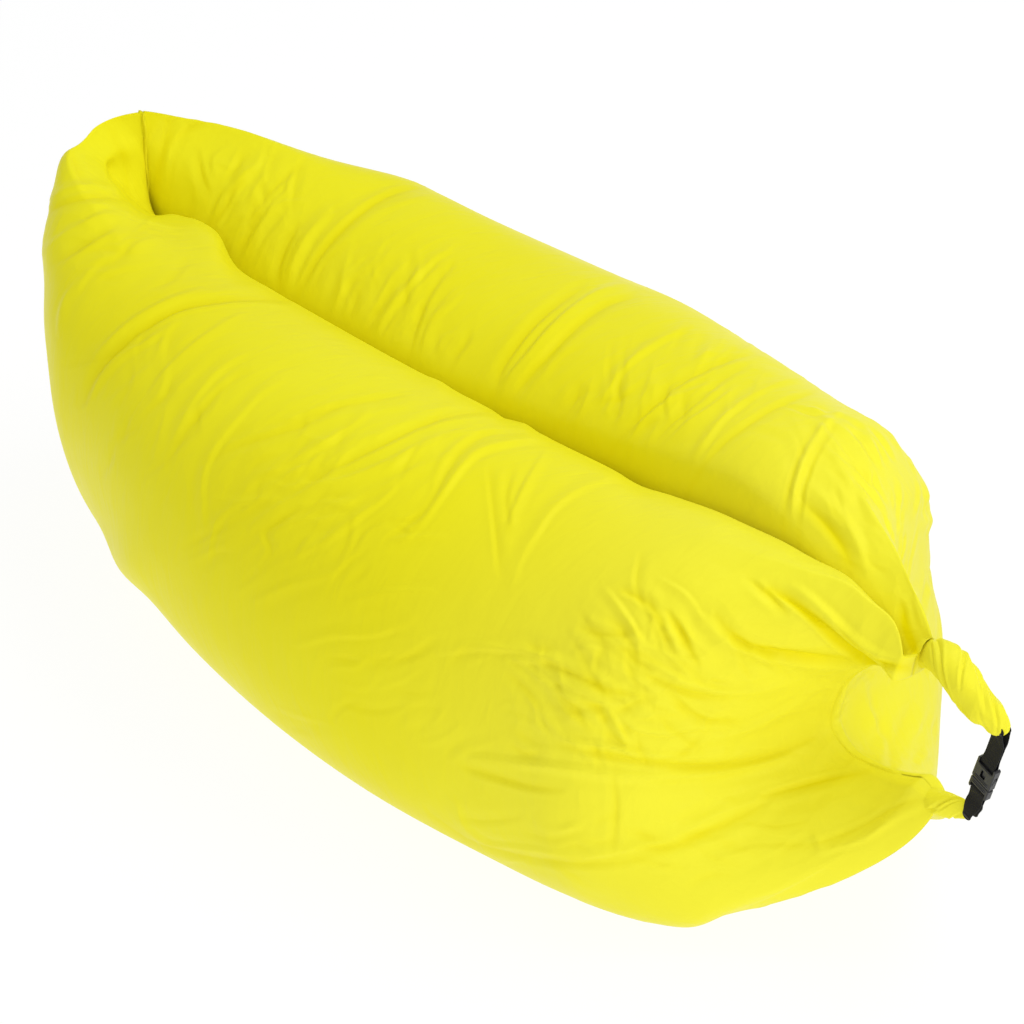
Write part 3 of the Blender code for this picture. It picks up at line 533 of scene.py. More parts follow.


# ---------------------------------------------------------------- folds
# (sleeve, kind, height in mm, half width in px, line in the 1024 px picture)
FOLDS = [
    # near sleeve, round its closed end
    ("near", "crease", 7.0, 5, ((290, 300), (240, 298), (205, 302), (180, 307), (150, 322), (120, 345), (97, 372), (84, 402))),
    ("near", "ridge", 3.0, 6, ((200, 290), (175, 298), (150, 310), (130, 322), (112, 340), (98, 358))),
    ("near", "ridge", 3.0, 5, ((178, 320), (160, 333), (140, 345), (120, 358), (102, 378), (90, 396))),
    ("near", "crease", 5.0, 5, ((128, 200), (110, 195), (85, 196), (60, 203), (46, 212))),
    ("near", "ridge", 4.0, 5, ((120, 188), (100, 186), (85, 185), (65, 189), (50, 198))),
    ("near", "ridge", 4.0, 6, ((126, 212), (104, 213), (82, 224), (60, 236), (44, 250))),
    ("near", "crease", 4.0, 5, ((112, 226), (96, 236), (76, 248), (56, 262))),
    ("near", "crease", 3.0, 5, ((69, 152), (75, 166), (82, 182))),
    ("near", "crease", 3.0, 5, ((110, 130), (120, 150), (127, 175), (129, 197))),
    ("near", "ridge", 2.5, 5, ((74, 282), (64, 298), (59, 316), (58, 332))),
    ("near", "ridge", 2.0, 5, ((102, 258), (86, 274), (74, 292))),
    # near sleeve, along its top
    ("near", "ridge", 2.2, 5, ((238, 314), (208, 333), (186, 350), (166, 370), (150, 392))),
    ("near", "ridge", 2.4, 5, ((245, 353), (225, 365), (205, 385), (190, 407), (176, 432))),
    ("near", "crease", 2.4, 5, ((242, 372), (215, 394), (196, 416), (180, 438), (168, 462))),
    ("near", "ridge", 2.2, 5, ((282, 380), (262, 392), (245, 410), (226, 432), (212, 452), (204, 474), (204, 530))),
    ("near", "crease", 2.4, 5, ((338, 404), (304, 424), (268, 436), (232, 448), (206, 462))),
    ("near", "ridge", 2.6, 6, ((368, 412), (332, 438), (305, 454), (280, 468), (255, 482), (238, 496))),
    ("near", "crease", 2.4, 5, ((404, 394), (352, 403), (318, 412), (280, 430))),
    ("near", "crease", 4.0, 5, ((498, 411), (465, 413), (430, 421), (400, 435), (370, 450), (340, 465), (310, 480))),
    ("near", "ridge", 3.0, 6, ((470, 428), (432, 440), (400, 456), (370, 470), (345, 479), (318, 485), (296, 497), (270, 512), (252, 528))),
    ("near", "ridge", 2.2, 5, ((402, 478), (382, 500), (362, 515), (345, 530), (318, 545), (284, 563))),
    ("near", "crease", 2.0, 5, ((300, 508), (280, 520), (264, 534), (270, 548), (262, 566))),
    ("near", "ridge", 2.2, 5, ((272, 500), (246, 502), (222, 516), (212, 536), (210, 556))),
    ("near", "crease", 2.0, 5, ((488, 468), (492, 500), (496, 540), (499, 572))),
    ("near", "crease", 2.0, 5, ((513, 468), (506, 495), (509, 530))),
    ("near", "ridge", 2.2, 5, ((545, 452), (528, 480), (514, 510), (508, 530))),
    ("near", "ridge", 3.2, 6, ((556, 436), (505, 443), (478, 452), (458, 472), (442, 494), (424, 520), (408, 538))),
    ("near", "crease", 2.4, 5, ((520, 432), (480, 436), (460, 450), (444, 474), (434, 496), (414, 524))),
    ("near", "ridge", 2.0, 6, ((622, 474), (578, 490), (552, 510), (536, 534), (520, 560), (514, 580))),
    ("near", "crease", 2.0, 5, ((640, 556), (636, 584), (642, 606))),
    ("near", "ridge", 1.8, 6, ((256, 600), (290, 584), (330, 574))),
    ("near", "ridge", 1.8, 6, ((300, 645), (330, 636), (372, 634), (410, 622))),
    ("near", "ridge", 1.8, 6, ((350, 600), (385, 592), (430, 590))),
    # near sleeve, crumpled side below the mouth
    ("near", "ridge", 4.1, 6, ((440, 652), (480, 648), (530, 652), (562, 664), (592, 682), (616, 698))),
    ("near", "ridge", 4.9, 5, ((520, 660), (538, 676), (560, 692), (600, 702), (640, 704))),
    ("near", "crease", 4.1, 5, ((542, 662), (576, 676), (606, 690), (646, 694))),
    ("near", "ridge", 5.4, 5, ((557, 700), (574, 716), (594, 728))),
    ("near", "crease", 4.1, 5, ((582, 700), (600, 712), (606, 728))),
    ("near", "ridge", 5.4, 5, ((552, 722), (564, 738), (600, 744), (640, 752), (700, 755), (724, 750))),
    ("near", "crease", 5.4, 5, ((560, 745), (596, 754), (640, 762), (700, 767), (760, 759), (790, 748), (815, 735))),
    ("near", "ridge", 6.8, 6, ((474, 756), (510, 761), (556, 766), (600, 772), (650, 776), (700, 774), (744, 766), (790, 756))),
    ("near", "crease", 4.1, 5, ((466, 768), (500, 779), (530, 787), (560, 790))),
    ("near", "ridge", 5.4, 5, ((608, 712), (618, 726), (628, 748))),
    ("near", "ridge", 4.1, 5, ((612, 716), (638, 730), (668, 733), (690, 728), (744, 730))),
    ("near", "crease", 4.1, 5, ((668, 690), (682, 704), (700, 718), (740, 722))),
    ("near", "ridge", 3.5, 5, ((600, 682), (620, 690), (648, 694))),
    ("near", "ridge", 6.1, 6, ((636, 648), (656, 664), (688, 683), (720, 690), (760, 690), (786, 684))),
    ("near", "crease", 4.7, 5, ((640, 672), (664, 684), (690, 694), (730, 700))),
    ("near", "ridge", 4.1, 5, ((606, 590), (622, 610), (636, 632), (646, 648))),
    ("near", "crease", 3.5, 5, ((624, 590), (650, 606), (664, 628), (668, 648))),
    ("near", "crease", 6.8, 5, ((668, 612), (682, 632), (690, 650), (698, 664))),
    ("near", "ridge", 5.4, 5, ((655, 614), (668, 632), (678, 652))),
    ("near", "ridge", 7.0, 7, ((704, 618), (716, 634), (736, 648), (756, 656), (794, 662), (826, 665), (858, 665))),
    ("near", "crease", 7.0, 6, ((716, 616), (730, 634), (752, 647), (790, 655), (830, 660), (866, 661))),
    ("near", "crease", 5.4, 5, ((752, 582), (768, 594), (786, 612))),
    ("near", "crease", 13.0, 6, ((770, 589), (790, 600), (812, 618), (838, 642), (866, 661), (912, 668))),
    ("near", "ridge", 8.1, 7, ((800, 590), (826, 612), (852, 636), (880, 655), (910, 664))),
    ("near", "crease", 4.1, 5, ((838, 625), (852, 640), (870, 654))),
    ("near", "ridge", 3.5, 6, ((704, 740), (740, 732), (770, 718), (796, 704), (830, 680))),
    # near sleeve, low front
    ("near", "crease", 6.0, 5, ((868, 771), (830, 777), (792, 787), (762, 796))),
    ("near", "ridge", 4.0, 6, ((762, 797), (738, 806), (708, 818), (680, 834), (655, 842), (618, 850), (585, 857))),
    ("near", "crease", 5.0, 6, ((762, 804), (740, 816), (706, 832), (668, 848), (640, 847))),
    ("near", "crease", 2.4, 5, ((613, 774), (616, 800), (613, 850))),
    ("near", "ridge", 2.4, 6, ((818, 852), (862, 838), (905, 812), (936, 799))),
    ("near", "crease", 2.4, 5, ((806, 846), (858, 826), (900, 803), (934, 795))),
    ("near", "ridge", 2.0, 5, ((812, 832), (820, 852))),
    ("near", "ridge", 2.2, 6, ((456, 802), (464, 826), (482, 842), (520, 848), (575, 856))),
    ("near", "crease", 2.6, 6, ((430, 812), (462, 836), (500, 850), (560, 862), (620, 862), (668, 850))),
    ("near", "ridge", 2.0, 6, ((720, 858), (762, 848), (790, 852))),
    # far sleeve, from the closed end
    ("far", "crease", 5.0, 6, ((168, 122), (160, 150), (156, 180), (153, 215))),
    ("far", "ridge", 4.0, 6, ((180, 126), (168, 150), (163, 180), (161, 212))),
    ("far", "crease", 2.6, 5, ((205, 120), (184, 130), (170, 146))),
    ("far", "ridge", 4.0, 5, ((262, 156), (244, 176), (232, 198), (220, 218), (213, 234))),
    ("far", "crease", 3.5, 5, ((248, 172), (234, 190), (222, 210), (208, 228))),
    ("far", "crease", 3.0, 5, ((296, 166), (282, 178), (266, 194), (250, 214))),
    ("far", "ridge", 3.5, 5, ((276, 196), (266, 216), (252, 238), (243, 258))),
    ("far", "crease", 3.5, 5, ((262, 206), (250, 226), (241, 246), (236, 262))),
    ("far", "ridge", 2.6, 5, ((226, 186), (216, 206), (209, 222))),
    ("far", "crease", 2.6, 5, ((196, 150), (200, 172), (206, 190))),
    # far sleeve, the first deep tuck and what fans from it
    ("far", "ridge", 8.0, 7, ((284, 298), (290, 274), (300, 250), (312, 230), (328, 212))),
    ("far", "crease", 6.0, 5, ((293, 306), (302, 284), (316, 258), (338, 231), (364, 208), (398, 190), (420, 186))),
    ("far", "crease", 4.5, 5, ((280, 292), (277, 268), (284, 246), (296, 224))),
    ("far", "crease", 2.6, 5, ((304, 306), (314, 284), (324, 264), (342, 244))),
    ("far", "ridge", 3.0, 6, ((330, 322), (338, 298), (350, 272))),
    ("far", "crease", 3.0, 5, ((346, 330), (352, 306), (362, 284))),
    ("far", "ridge", 4.0, 5, ((370, 348), (380, 326), (394, 304), (410, 284), (430, 262), (452, 246))),
    ("far", "crease", 3.0, 5, ((362, 342), (372, 318), (386, 296), (396, 276))),
    ("far", "crease", 3.0, 5, ((408, 362), (414, 332), (424, 304), (438, 280), (452, 264))),
    ("far", "ridge", 3.0, 5, ((420, 358), (428, 330), (442, 306), (456, 290))),
    ("far", "crease", 2.4, 5, ((448, 376), (456, 356), (470, 338))),
    # far sleeve, the second deep tuck
    ("far", "ridge", 8.0, 7, ((499, 402), (510, 378), (530, 354), (552, 328), (574, 308), (600, 291), (622, 284))),
    ("far", "crease", 6.0, 5, ((492, 398), (500, 372), (516, 346), (536, 322), (560, 302), (584, 286))),
    ("far", "crease", 5.0, 5, ((508, 408), (524, 380), (548, 352), (574, 326), (606, 304), (636, 296))),
    ("far", "crease", 3.0, 5, ((546, 438), (562, 420), (574, 402), (580, 384))),
    ("far", "ridge", 3.5, 6, ((558, 440), (574, 422), (586, 402), (590, 384))),
    ("far", "ridge", 2.6, 5, ((592, 418), (606, 394), (624, 368), (654, 344), (692, 324))),
    ("far", "crease", 2.6, 5, ((612, 410), (618, 388), (622, 370))),
    ("far", "crease", 4.0, 5, ((602, 468), (614, 448), (632, 426), (656, 402), (686, 380), (722, 362), (762, 352))),
    ("far", "ridge", 3.5, 5, ((614, 472), (626, 446), (646, 420), (676, 397), (704, 386))),
    ("far", "crease", 2.6, 5, ((656, 442), (674, 420), (700, 400), (722, 380), (748, 366))),
    ("far", "ridge", 2.6, 5, ((664, 446), (684, 426), (712, 406), (736, 388))),
    ("far", "ridge", 3.5, 5, ((676, 494), (690, 468), (706, 442), (722, 420), (746, 400), (774, 384), (804, 378))),
    ("far", "crease", 3.5, 5, ((686, 498), (700, 472), (722, 444), (748, 424), (778, 406), (822, 390))),
    ("far", "ridge", 4.5, 5, ((790, 546), (792, 512), (798, 480), (810, 450), (826, 424), (842, 410))),
    ("far", "crease", 3.0, 4, ((783, 542), (785, 510), (791, 478), (803, 448), (818, 424))),
    ("far", "crease", 3.0, 4, ((799, 548), (800, 514), (806, 482), (818, 452), (834, 428))),
    # far sleeve, towards the roll
    ("far", "ridge", 6.0, 10, ((812, 488), (838, 514), (856, 540), (866, 568))),
    ("far", "crease", 8.0, 9, ((806, 506), (826, 526), (842, 548), (852, 572))),
    ("far", "crease", 12.0, 6, ((902, 606), (906, 628), (914, 648), (924, 668))),
    ("far", "ridge", 4.0, 7, ((915, 600), (922, 624), (932, 646))),
    ("far", "ridge", 3.6, 7, ((862, 676), (868, 710), (880, 740), (884, 764))),
    ("far", "crease", 1.6, 9, ((912, 700), (902, 724), (892, 748), (888, 770))),
    ("far", "ridge", 2.6, 6, ((926, 706), (916, 730), (904, 752))),
]  # fmt: skip


# (sleeve, middle and spread of the patch, direction in degrees, how many, height in mm)
RIPPLE_PATCHES = [
    ("near", (330, 500), (120, 75), 150, 60, 1.3),
    ("near", (150, 400), (60, 60), 125, 24, 1.3),
    ("near", (620, 695), (95, 65), 20, 56, 2.7),
    ("near", (600, 690), (85, 60), 65, 22, 2.0),
    ("near", (700, 640), (80, 40), 40, 20, 2.2),
    ("near", (640, 840), (150, 40), 170, 30, 1.2),
    ("near", (420, 680), (120, 70), 170, 26, 1.0),
    ("near", (120, 235), (60, 40), 160, 20, 1.6),
    ("far", (240, 200), (60, 50), 120, 24, 1.8),
    ("far", (400, 300), (60, 50), 122, 26, 1.5),
    ("far", (650, 400), (110, 60), 125, 40, 1.5),
    ("far", (850, 500), (50, 60), 60, 18, 1.2),
]  # fmt: skip
# (sleeve, middle and spread in the picture, how crumpled)
CRUSHED = [
    ("near", (630, 700), (95, 62), 0.75),
    ("near", (760, 640), (70, 40), 0.30),
    ("near", (640, 800), (130, 40), 0.30),
    ("near", (300, 460), (120, 70), 0.22),
    ("near", (90, 220), (50, 50), 0.30),
    ("far", (250, 210), (60, 60), 0.30),
    ("far", (420, 300), (80, 60), 0.20),
    ("far", (660, 390), (120, 50), 0.20),
]  # fmt: skip
rng = np.random.default_rng(41)
RIPPLES = []
for owner, (px, py), (wide, high), heading, count, size in RIPPLE_PATCHES:
    for _ in range(count):
        x, y = px + wide * np.clip(rng.normal(0, 0.6), -1, 1), py + high * np.clip(rng.normal(0, 0.6), -1, 1)
        way = math.radians(heading + rng.normal(0, 18))
        reach, bend = rng.uniform(10, 30), rng.normal(0, 4)
        c, s = math.cos(way), math.sin(way)
        RIPPLES.append(
            (
                owner,
                "crease" if rng.random() < 0.5 else "ridge",
                size * rng.uniform(0.4, 1.1),
                rng.uniform(4.2, 6.0),
                ((x - reach * c, y - reach * s), (x - bend * s, y + bend * c), (x + reach * c, y + reach * s)),
            )
        )


def along_line(x, y, line):
    """Distance of picture places from a line, + on one side, and the share of its length of the nearest point."""
    line = np.array(line, float)
    if len(line) > 2:  # a smooth line through its points
        at = np.concatenate([[0], np.cumsum(np.linalg.norm(np.diff(line, axis=0), axis=1))])
        fine = np.linspace(0, at[-1], 3 * len(line))
        line = np.stack([smooth_through(at, line[:, k], fine) for k in (0, 1)], axis=1)
    start, way = line[:-1], np.diff(line, axis=0)
    length = np.linalg.norm(way, axis=1)
    before = np.concatenate([[0], np.cumsum(length)[:-1]])
    best = np.full(x.shape, 1e9)
    share = np.zeros(x.shape)
    side = np.ones(x.shape)
    for s, w, n, b in zip(start, way, length, before):
        t = np.clip(((x - s[0]) * w[0] + (y - s[1]) * w[1]) / n**2, 0, 1)
        d = np.hypot(x - s[0] - t * w[0], y - s[1] - t * w[1])
        closer = d < best
        best = np.where(closer, d, best)
        share = np.where(closer, (b + t * n) / length.sum(), share)
        side = np.where(closer, np.sign(w[0] * (y - s[1]) - w[1] * (x - s[0]) + 1e-9), side)
    return best * side, share


def profile(kind, d, steep):
    """Height across a fold, d in half widths from its line, which is steeper on one side."""
    d = np.where(d * steep > 0, d * 1.45, d * 0.72)
    e = np.abs(d)
    if kind == "ridge":
        return np.exp(-(e**1.5)) - 0.40 * np.exp(-((e - 2.0) ** 2))
    return -np.exp(-(e**1.15)) + 0.36 * np.exp(-((e - 2.1) ** 2))


def folds_on(which, grid, normal):
    """Height of the picture's folds on a sleeve, and how creased each point is, as the weight of the painted shade in
    the creases.
    """
    x, y, _ = projected(grid.reshape(-1, 3))
    facing = (normal.reshape(-1, 3) @ back)
    height, crease = np.zeros(len(x)), np.zeros(len(x))
    for number, (owner, kind, size, width, line) in enumerate(FOLDS + RIPPLES):
        if owner != which:
            continue
        width = 0.70 * width
        box = np.array(line, float)
        reach = 4.5 * width
        near_by = np.flatnonzero(
            (x > box[:, 0].min() - reach) & (x < box[:, 0].max() + reach)
            & (y > box[:, 1].min() - reach) & (y < box[:, 1].max() + reach)
            & (facing > 0.0)
        )
        if not len(near_by):
            continue
        d, share = along_line(x[near_by], y[near_by], line)
        taper = np.sin(np.pi * np.clip(0.06 + 0.88 * share, 0, 1)) ** 0.7
        shown = np.clip(facing[near_by] / 0.15, 0, 1)
        # the fold's height, faded out where the cloth turns away from the view
        h = profile(kind, d / width, 1 if number % 2 else -1) * taper * shown * 1.12 * size**0.75 / 1000
        height[near_by] += h
        # creases also get a weight for painted shade, which darkens the cloth's colour along them
        if kind == "crease":
            crease[near_by] += np.exp(-((d / width) ** 2)) * taper * shown * size / 8
    return height.reshape(grid.shape[:2]), crease.reshape(grid.shape[:2])


def wandering_folds(grid, along, around, where, count, seed, size=2.4, heading=math.pi / 2):
    """Short folds laid over the parts that the picture doesn't show."""
    rng = np.random.default_rng(seed)
    height = np.zeros(grid.shape[:2])
    girth = around.max() * (1 + 1 / grid.shape[1])
    places = np.argwhere(where > 0.5)
    for _ in range(count):
        i, j = places[rng.integers(len(places))]
        length = rng.uniform(0.03, 0.13)
        width = rng.uniform(0.0055, 0.010)
        angle = rng.normal(heading, 0.45)
        bend = rng.normal(0, 2.5)
        high = rng.uniform(0.35, 1.0) * size / 1000 * (1 if rng.random() < 0.5 else -1)
        du = along - along[i, j]
        dv = (around - around[i, j] + girth / 2) % girth - girth / 2
        near_by = (np.abs(du) < length) & (np.abs(dv) < length)
        du, dv = du[near_by], dv[near_by]
        a = du * math.cos(angle) + dv * math.sin(angle)
        b = -du * math.sin(angle) + dv * math.cos(angle) - bend * a**2
        body = np.clip(1 - (a / (length / 2)) ** 2, 0, 1) ** 1.2
        d = np.abs(b) / width
        height[near_by] += high * body * (np.exp(-(d**2)) - 0.42 * np.exp(-((d - 2.1) ** 2)))
    return height * where


def grid_mesh(name, grid, uv, flip, closed_ends=(True, True), height=None):
    """A mesh from rings that are closed around. The end rings are zipped shut, side to side.

    height says how far up its side each column is, from 0 to 1 and back, where the columns aren't evenly spread.
    """
    rings, columns = grid.shape[:2]
    i, j = np.meshgrid(np.arange(rings - 1), np.arange(columns), indexing="ij")
    k = (j + 1) % columns
    a, b, c, d = i * columns + j, i * columns + k, (i + 1) * columns + k, (i + 1) * columns + j
    quads = np.stack([a, b, c, d], -1).reshape(-1, 4)
    seam = (k == 0)[..., None]
    past = [[1, 0], [0, 1]]
    round_again = [uv[row, -1] * past[0] + past[1] * (2 * uv[row, -1] - uv[row, -2]) for row in (i, i + 1)]
    uvs = np.stack(
        [uv[i, j], np.where(seam, round_again[0], uv[i, k]), np.where(seam, round_again[1], uv[i + 1, k]), uv[i + 1, j]],
        axis=2,
    ).reshape(-1, 4, 2)
    if height is None:
        turn = np.arange(columns) / columns
        height = np.where(turn <= 0.5, 2 * turn, 2 - 2 * turn)
    top = int(np.argmax(height))
    one_side, other_side = np.arange(0, top + 1), np.arange(columns - 1, top, -1)
    tips = []
    for end, wanted in enumerate(closed_ends):
        if not wanted:
            continue
        base = 0 if end == 0 else (rings - 1) * columns
        m, n = 0, 0
        while m < len(one_side) - 1 or n < len(other_side) - 1:
            next_one = height[one_side[m + 1]] if m < len(one_side) - 1 else 2
            next_other = height[other_side[n + 1]] if n < len(other_side) - 1 else 2
            if next_one <= next_other:
                tip = (one_side[m + 1], one_side[m], other_side[n])
                m += 1
            else:
                tip = (other_side[n], other_side[n + 1], one_side[m])
                n += 1
            tips.append([base + v for v in (tip if end == 0 else (tip[1], tip[0], tip[2]))])
    tips = np.array(tips, int).reshape(-1, 3)
    if flip:
        quads, uvs, tips = quads[:, ::-1], uvs[:, ::-1], tips[:, ::-1]
    mesh = bpy.data.meshes.new(name)
    mesh.vertices.add(rings * columns)
    mesh.vertices.foreach_set("co", grid.astype(np.float32).ravel())
    loops = np.concatenate([quads.ravel(), tips.ravel()]).astype(np.int32)
    mesh.loops.add(len(loops))
    mesh.loops.foreach_set("vertex_index", loops)
    starts = np.concatenate([4 * np.arange(len(quads)), 4 * len(quads) + 3 * np.arange(len(tips))]).astype(np.int32)
    mesh.polygons.add(len(starts))
    mesh.polygons.foreach_set("loop_start", starts)
    mesh.update(calc_edges=True)
    mesh.validate()
    layer = mesh.uv_layers.new(name="cloth")
    flat = np.concatenate([uvs.reshape(-1, 2), uv.reshape(-1, 2)[tips.ravel()]])
    layer.data.foreach_set("uv", flat.astype(np.float32).ravel())
    mesh.shade_smooth()
    return mesh


def add_piece(name, mesh, made, body="lounger", replaces=()):
    obj = bpy.data.objects.new(name, mesh)
    scene.collection.objects.link(obj)
    if made is not None:
        mesh.materials.append(made)
    if body:
        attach(obj, body)
    if replaces:
        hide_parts(*replaces)
    return obj


def attribute(mesh, name, values):
    layer = mesh.attributes.new(name, "FLOAT", "POINT")
    layer.data.foreach_set("value", np.asarray(values, np.float32).ravel())


def metres(grid):
    """Distances along and around the cloth, from the closed end and from the bottom."""
    along = np.concatenate(
        [np.zeros((1, grid.shape[1])), np.cumsum(np.linalg.norm(np.diff(grid, axis=0), axis=-1), axis=0)]
    )
    along = along.mean(axis=1, keepdims=True) + 0 * along
    step = np.linalg.norm(np.roll(grid, -1, axis=1) - grid, axis=-1).mean(axis=0)
    around = np.concatenate([[0], np.cumsum(step)[:-1]])[None] + 0 * along
    return along, around


def roll_axis(shares):
    """Middle of the roll. The lower arm hangs a little, and the upper one starts inside the far sleeve's cloth."""
    at, normal = roll_path.point(shares), roll_path.inside(shares)
    sag = smooth_through(
        (0, 0.03, 0.06, 0.10, 0.14, 0.20, 0.30, 0.68, 0.76, 0.80, 0.84, 0.88, 0.92, 0.955, 0.98, 1.0),
        (0, -0.0050, -0.0100, -0.0115, -0.0080, 0, 0, 0, -0.003, -0.0095, -0.0085, 0.0005, 0.0085, 0.0085, 0.0030, 0),
        shares,
    )
    at = at + normal * sag[:, None]
    aside = smooth_through((0, 0.30, 0.62, 0.70, 0.80, 0.84, 0.90, 1.0), (0, 0, 0, 0.006, 0.006, 0.002, 0, 0), shares)
    return np.stack([at[:, 0] + SHIFT_X, aside, at[:, 1]], axis=1), normal


def roll_size(shares):
    """Half the roll's breadth in its plane and through it."""
    half_n = smooth_through(
        (0, 0.012, 0.028, 0.06, 0.10, 0.15, 0.21, 0.45, 0.68, 0.74, 0.79, 0.85, 0.92, 0.955, 0.985, 1.0),
        (0.0115, 0.0130, 0.0150, 0.0168, 0.0180, 0.0150, 0.0125, 0.0125, 0.0100, 0.0120, 0.0195, 0.0262, 0.0240, 0.0225, 0.0195, 0.0150),
        shares,
    )
    half_y = smooth_through(
        (0, 0.012, 0.028, 0.06, 0.10, 0.15, 0.21, 0.45, 0.68, 0.74, 0.79, 0.85, 0.92, 0.955, 0.975, 1.0),
        (0.0050, 0.0058, 0.0085, 0.0145, 0.0165, 0.0100, 0.0050, 0.0050, 0.0050, 0.0080, 0.0160, 0.0245, 0.0225, 0.0185, 0.0135, 0.0090),
        shares,
    )
    return half_n, half_y


def wrapped(grid):
    """The far sleeve's cloth is gathered over the root of the upper arm."""
    flat = grid.reshape(-1, 3).copy()
    at = np.linspace(0.66, 0.805, 100)
    centre, normal = roll_axis(at)
    half_n, half_y = roll_size(at)
    near_by = np.flatnonzero((np.abs(flat - centre.mean(axis=0)) < [0.12, 0.07, 0.10]).all(axis=1))
    away = flat[near_by, None] - centre[None]
    k = (away**2).sum(axis=2).argmin(axis=1)
    away = away[np.arange(len(k)), k]
    across = away[:, 0] * normal[k, 0] + away[:, 2] * normal[k, 1]
    reach = np.hypot(across / (half_n[k] + 0.002), away[:, 1] / (half_y[k] + 0.002))
    share = np.clip((at[k] - 0.69) / 0.05, 0, 1)
    grow = (eased(reach, 1.0, 0.16) / np.maximum(reach, 0.08) - 1) * share * share * (3 - 2 * share)
    flat[near_by, 0] += grow * across * normal[k, 0]
    flat[near_by, 1] += grow * away[:, 1]
    flat[near_by, 2] += grow * across * normal[k, 1]
    return flat.reshape(grid.shape)


yellow = {
    "near": cloth_material("yellow_cloth_near", 1.0),
    "far": cloth_material("yellow_cloth_far", 2.0),
}
film_made, film_nodes, film_links = material("bladder_film")
film_shader = film_nodes["Principled BSDF"]
film_place = film_nodes.new("ShaderNodeTexCoord").outputs["Object"]
film_tone = ramp(
    film_nodes, film_links,
    noise(film_nodes, film_links, film_place, 5.0).outputs["Fac"],
    [(0.3, (0.78, 0.83, 0.78)), (0.7, (0.86, 0.89, 0.85))],
)
film_links.new(film_tone.outputs["Color"], film_shader.inputs["Base Color"])
film_links.new(
    ramp(film_nodes, film_links, noise(film_nodes, film_links, film_place, 20.0).outputs["Fac"], [(0.3, 0.18), (0.7, 0.34)]).outputs["Color"],
    film_shader.inputs["Roughness"],
)
film_links.new(
    bump(film_nodes, film_links, noise(film_nodes, film_links, film_place, 45.0, 4.0).outputs["Fac"], 0.3, 0.003),
    film_shader.inputs["Normal"],
)

shapes = {}
for which, q, sign in (("near", NEAR, -1), ("far", FAR, 1)):
    shown = (0.40, 0.98) if which == "near" else (0.12, 0.80)
    base = sleeve(q, shown)
    turn = spread(COLUMNS + 1, *shown, 0.42)
    turn = np.stack([turn[:-1], 0.5 * (turn[:-1] + turn[1:])], axis=1).ravel()
    column_height = np.where(turn <= 0.5, 2 * turn, 2 - 2 * turn)
    if which == "far":
        base = base * np.array([1, -1, 1])
    base = nudged(which, base)
    fine = finer(base)
    normal = normals_of(fine, 1.0)
    middle = fine.mean(axis=1, keepdims=True)
    if ((fine - middle) * normal).sum() < 0:
        normal = -normal
    along, around = metres(fine)
    height, crease_shade = folds_on(which, fine, normal)
    x, y, _ = projected(fine.reshape(-1, 3))
    facing = (normal.reshape(-1, 3) @ back).reshape(fine.shape[:2])
    hidden = np.clip((0.05 - facing) / 0.2, 0, 1)
    ends = np.clip(np.minimum(along, along.max() - along) / 0.03, 0, 1)
    floor_clear = np.clip((fine[..., 2] - 0.004) / 0.02, 0, 1)
    plane_clear = np.clip((np.abs(fine[..., 1]) - 0.004) / 0.02, 0, 1)
    height = height + wandering_folds(fine, along, around, hidden, 260, 5 if which == "near" else 9)
    if which == "far":
        front = np.clip((along / along.max() - 0.70) / 0.10, 0, 1) * np.clip((fine[..., 1] - 0.03) / 0.06, 0, 1)
        height = height + wandering_folds(fine, along, around, front, 110, 12, 3.4, 0.15)
    height = height * ends * floor_clear * plane_clear
    shaped = fine + normal * height[..., None]
    parting = -neck_shift(shaped)
    if which == "near":
        shaped[..., 1] = np.minimum(shaped[..., 1], parting - GAP)
    else:
        shaped = wrapped(shaped)
        shaped[..., 1] = np.maximum(shaped[..., 1], -neck_shift(shaped) + GAP)
    shaped[..., 2] = np.maximum(shaped[..., 2], 0.0)
    shapes[which] = (shaped, normals_of(shaped, np.sign((normals_of(shaped, 1.0) * normal).sum())))
    uv = np.stack([along, around], axis=-1)
    flip = ((np.cross(fine[100, 41] - fine[100, 40], fine[101, 40] - fine[100, 40])) * normal[100, 40]).sum() < 0
    mesh = grid_mesh(which + "_sleeve_cloth", shaped, uv, flip, height=column_height)
    # painted shade: the crease weight becomes the fold attribute, which darkens the colour in the creases
    attribute(mesh, "fold", np.clip(softened(crease_shade, 1), 0, 1))
    crush = np.full(shaped.shape[:2], 0.10)
    gathered = np.clip((along - 0.80 * along.max()) / (0.2 * along.max()), 0, 1)
    crush = crush + 0.35 * gathered
    for owner, (px, py), (wide, high), amount in CRUSHED:
        if owner == which:
            patch = np.exp(-(((x - px) / wide) ** 2) - ((y - py) / high) ** 2).reshape(crush.shape)
            crush = crush + amount * patch * np.clip(facing / 0.1, 0, 1)
    attribute(mesh, "crush", np.clip(crush, 0, 1))
    piece = add_piece(which + "_sleeve_cloth", mesh, yellow[which], replaces=(which + "_sleeve",))
    # the air-tight film lies just inside the cloth
    line_along = along[:, 0]
    kept = slice(int(np.searchsorted(line_along, 0.13)), int(np.searchsorted(line_along, line_along[-1] - 0.24)), 2)
    inner_grid = softened(fine[kept, ::2], 2)
    inner_normal = normals_of(inner_grid, np.sign((normals_of(fine, 1.0) * normal).sum()))
    thick = np.abs(inner_grid[..., 1] - inner_grid[..., 1].mean(axis=1, keepdims=True)).mean(axis=1)
    depth = np.minimum(0.016, 0.35 * thick)[:, None, None]
    inner_grid = inner_grid - depth * inner_normal
    inner_uv = uv[kept, ::2]
    film = grid_mesh(which + "_bladder_film", inner_grid, inner_uv, flip, height=column_height[::2])
    attribute(film, "fold", np.zeros(inner_grid.shape[:2]))
    add_piece(which + "_bladder_film", film, film_made, replaces=(which + "_air_bladder",))

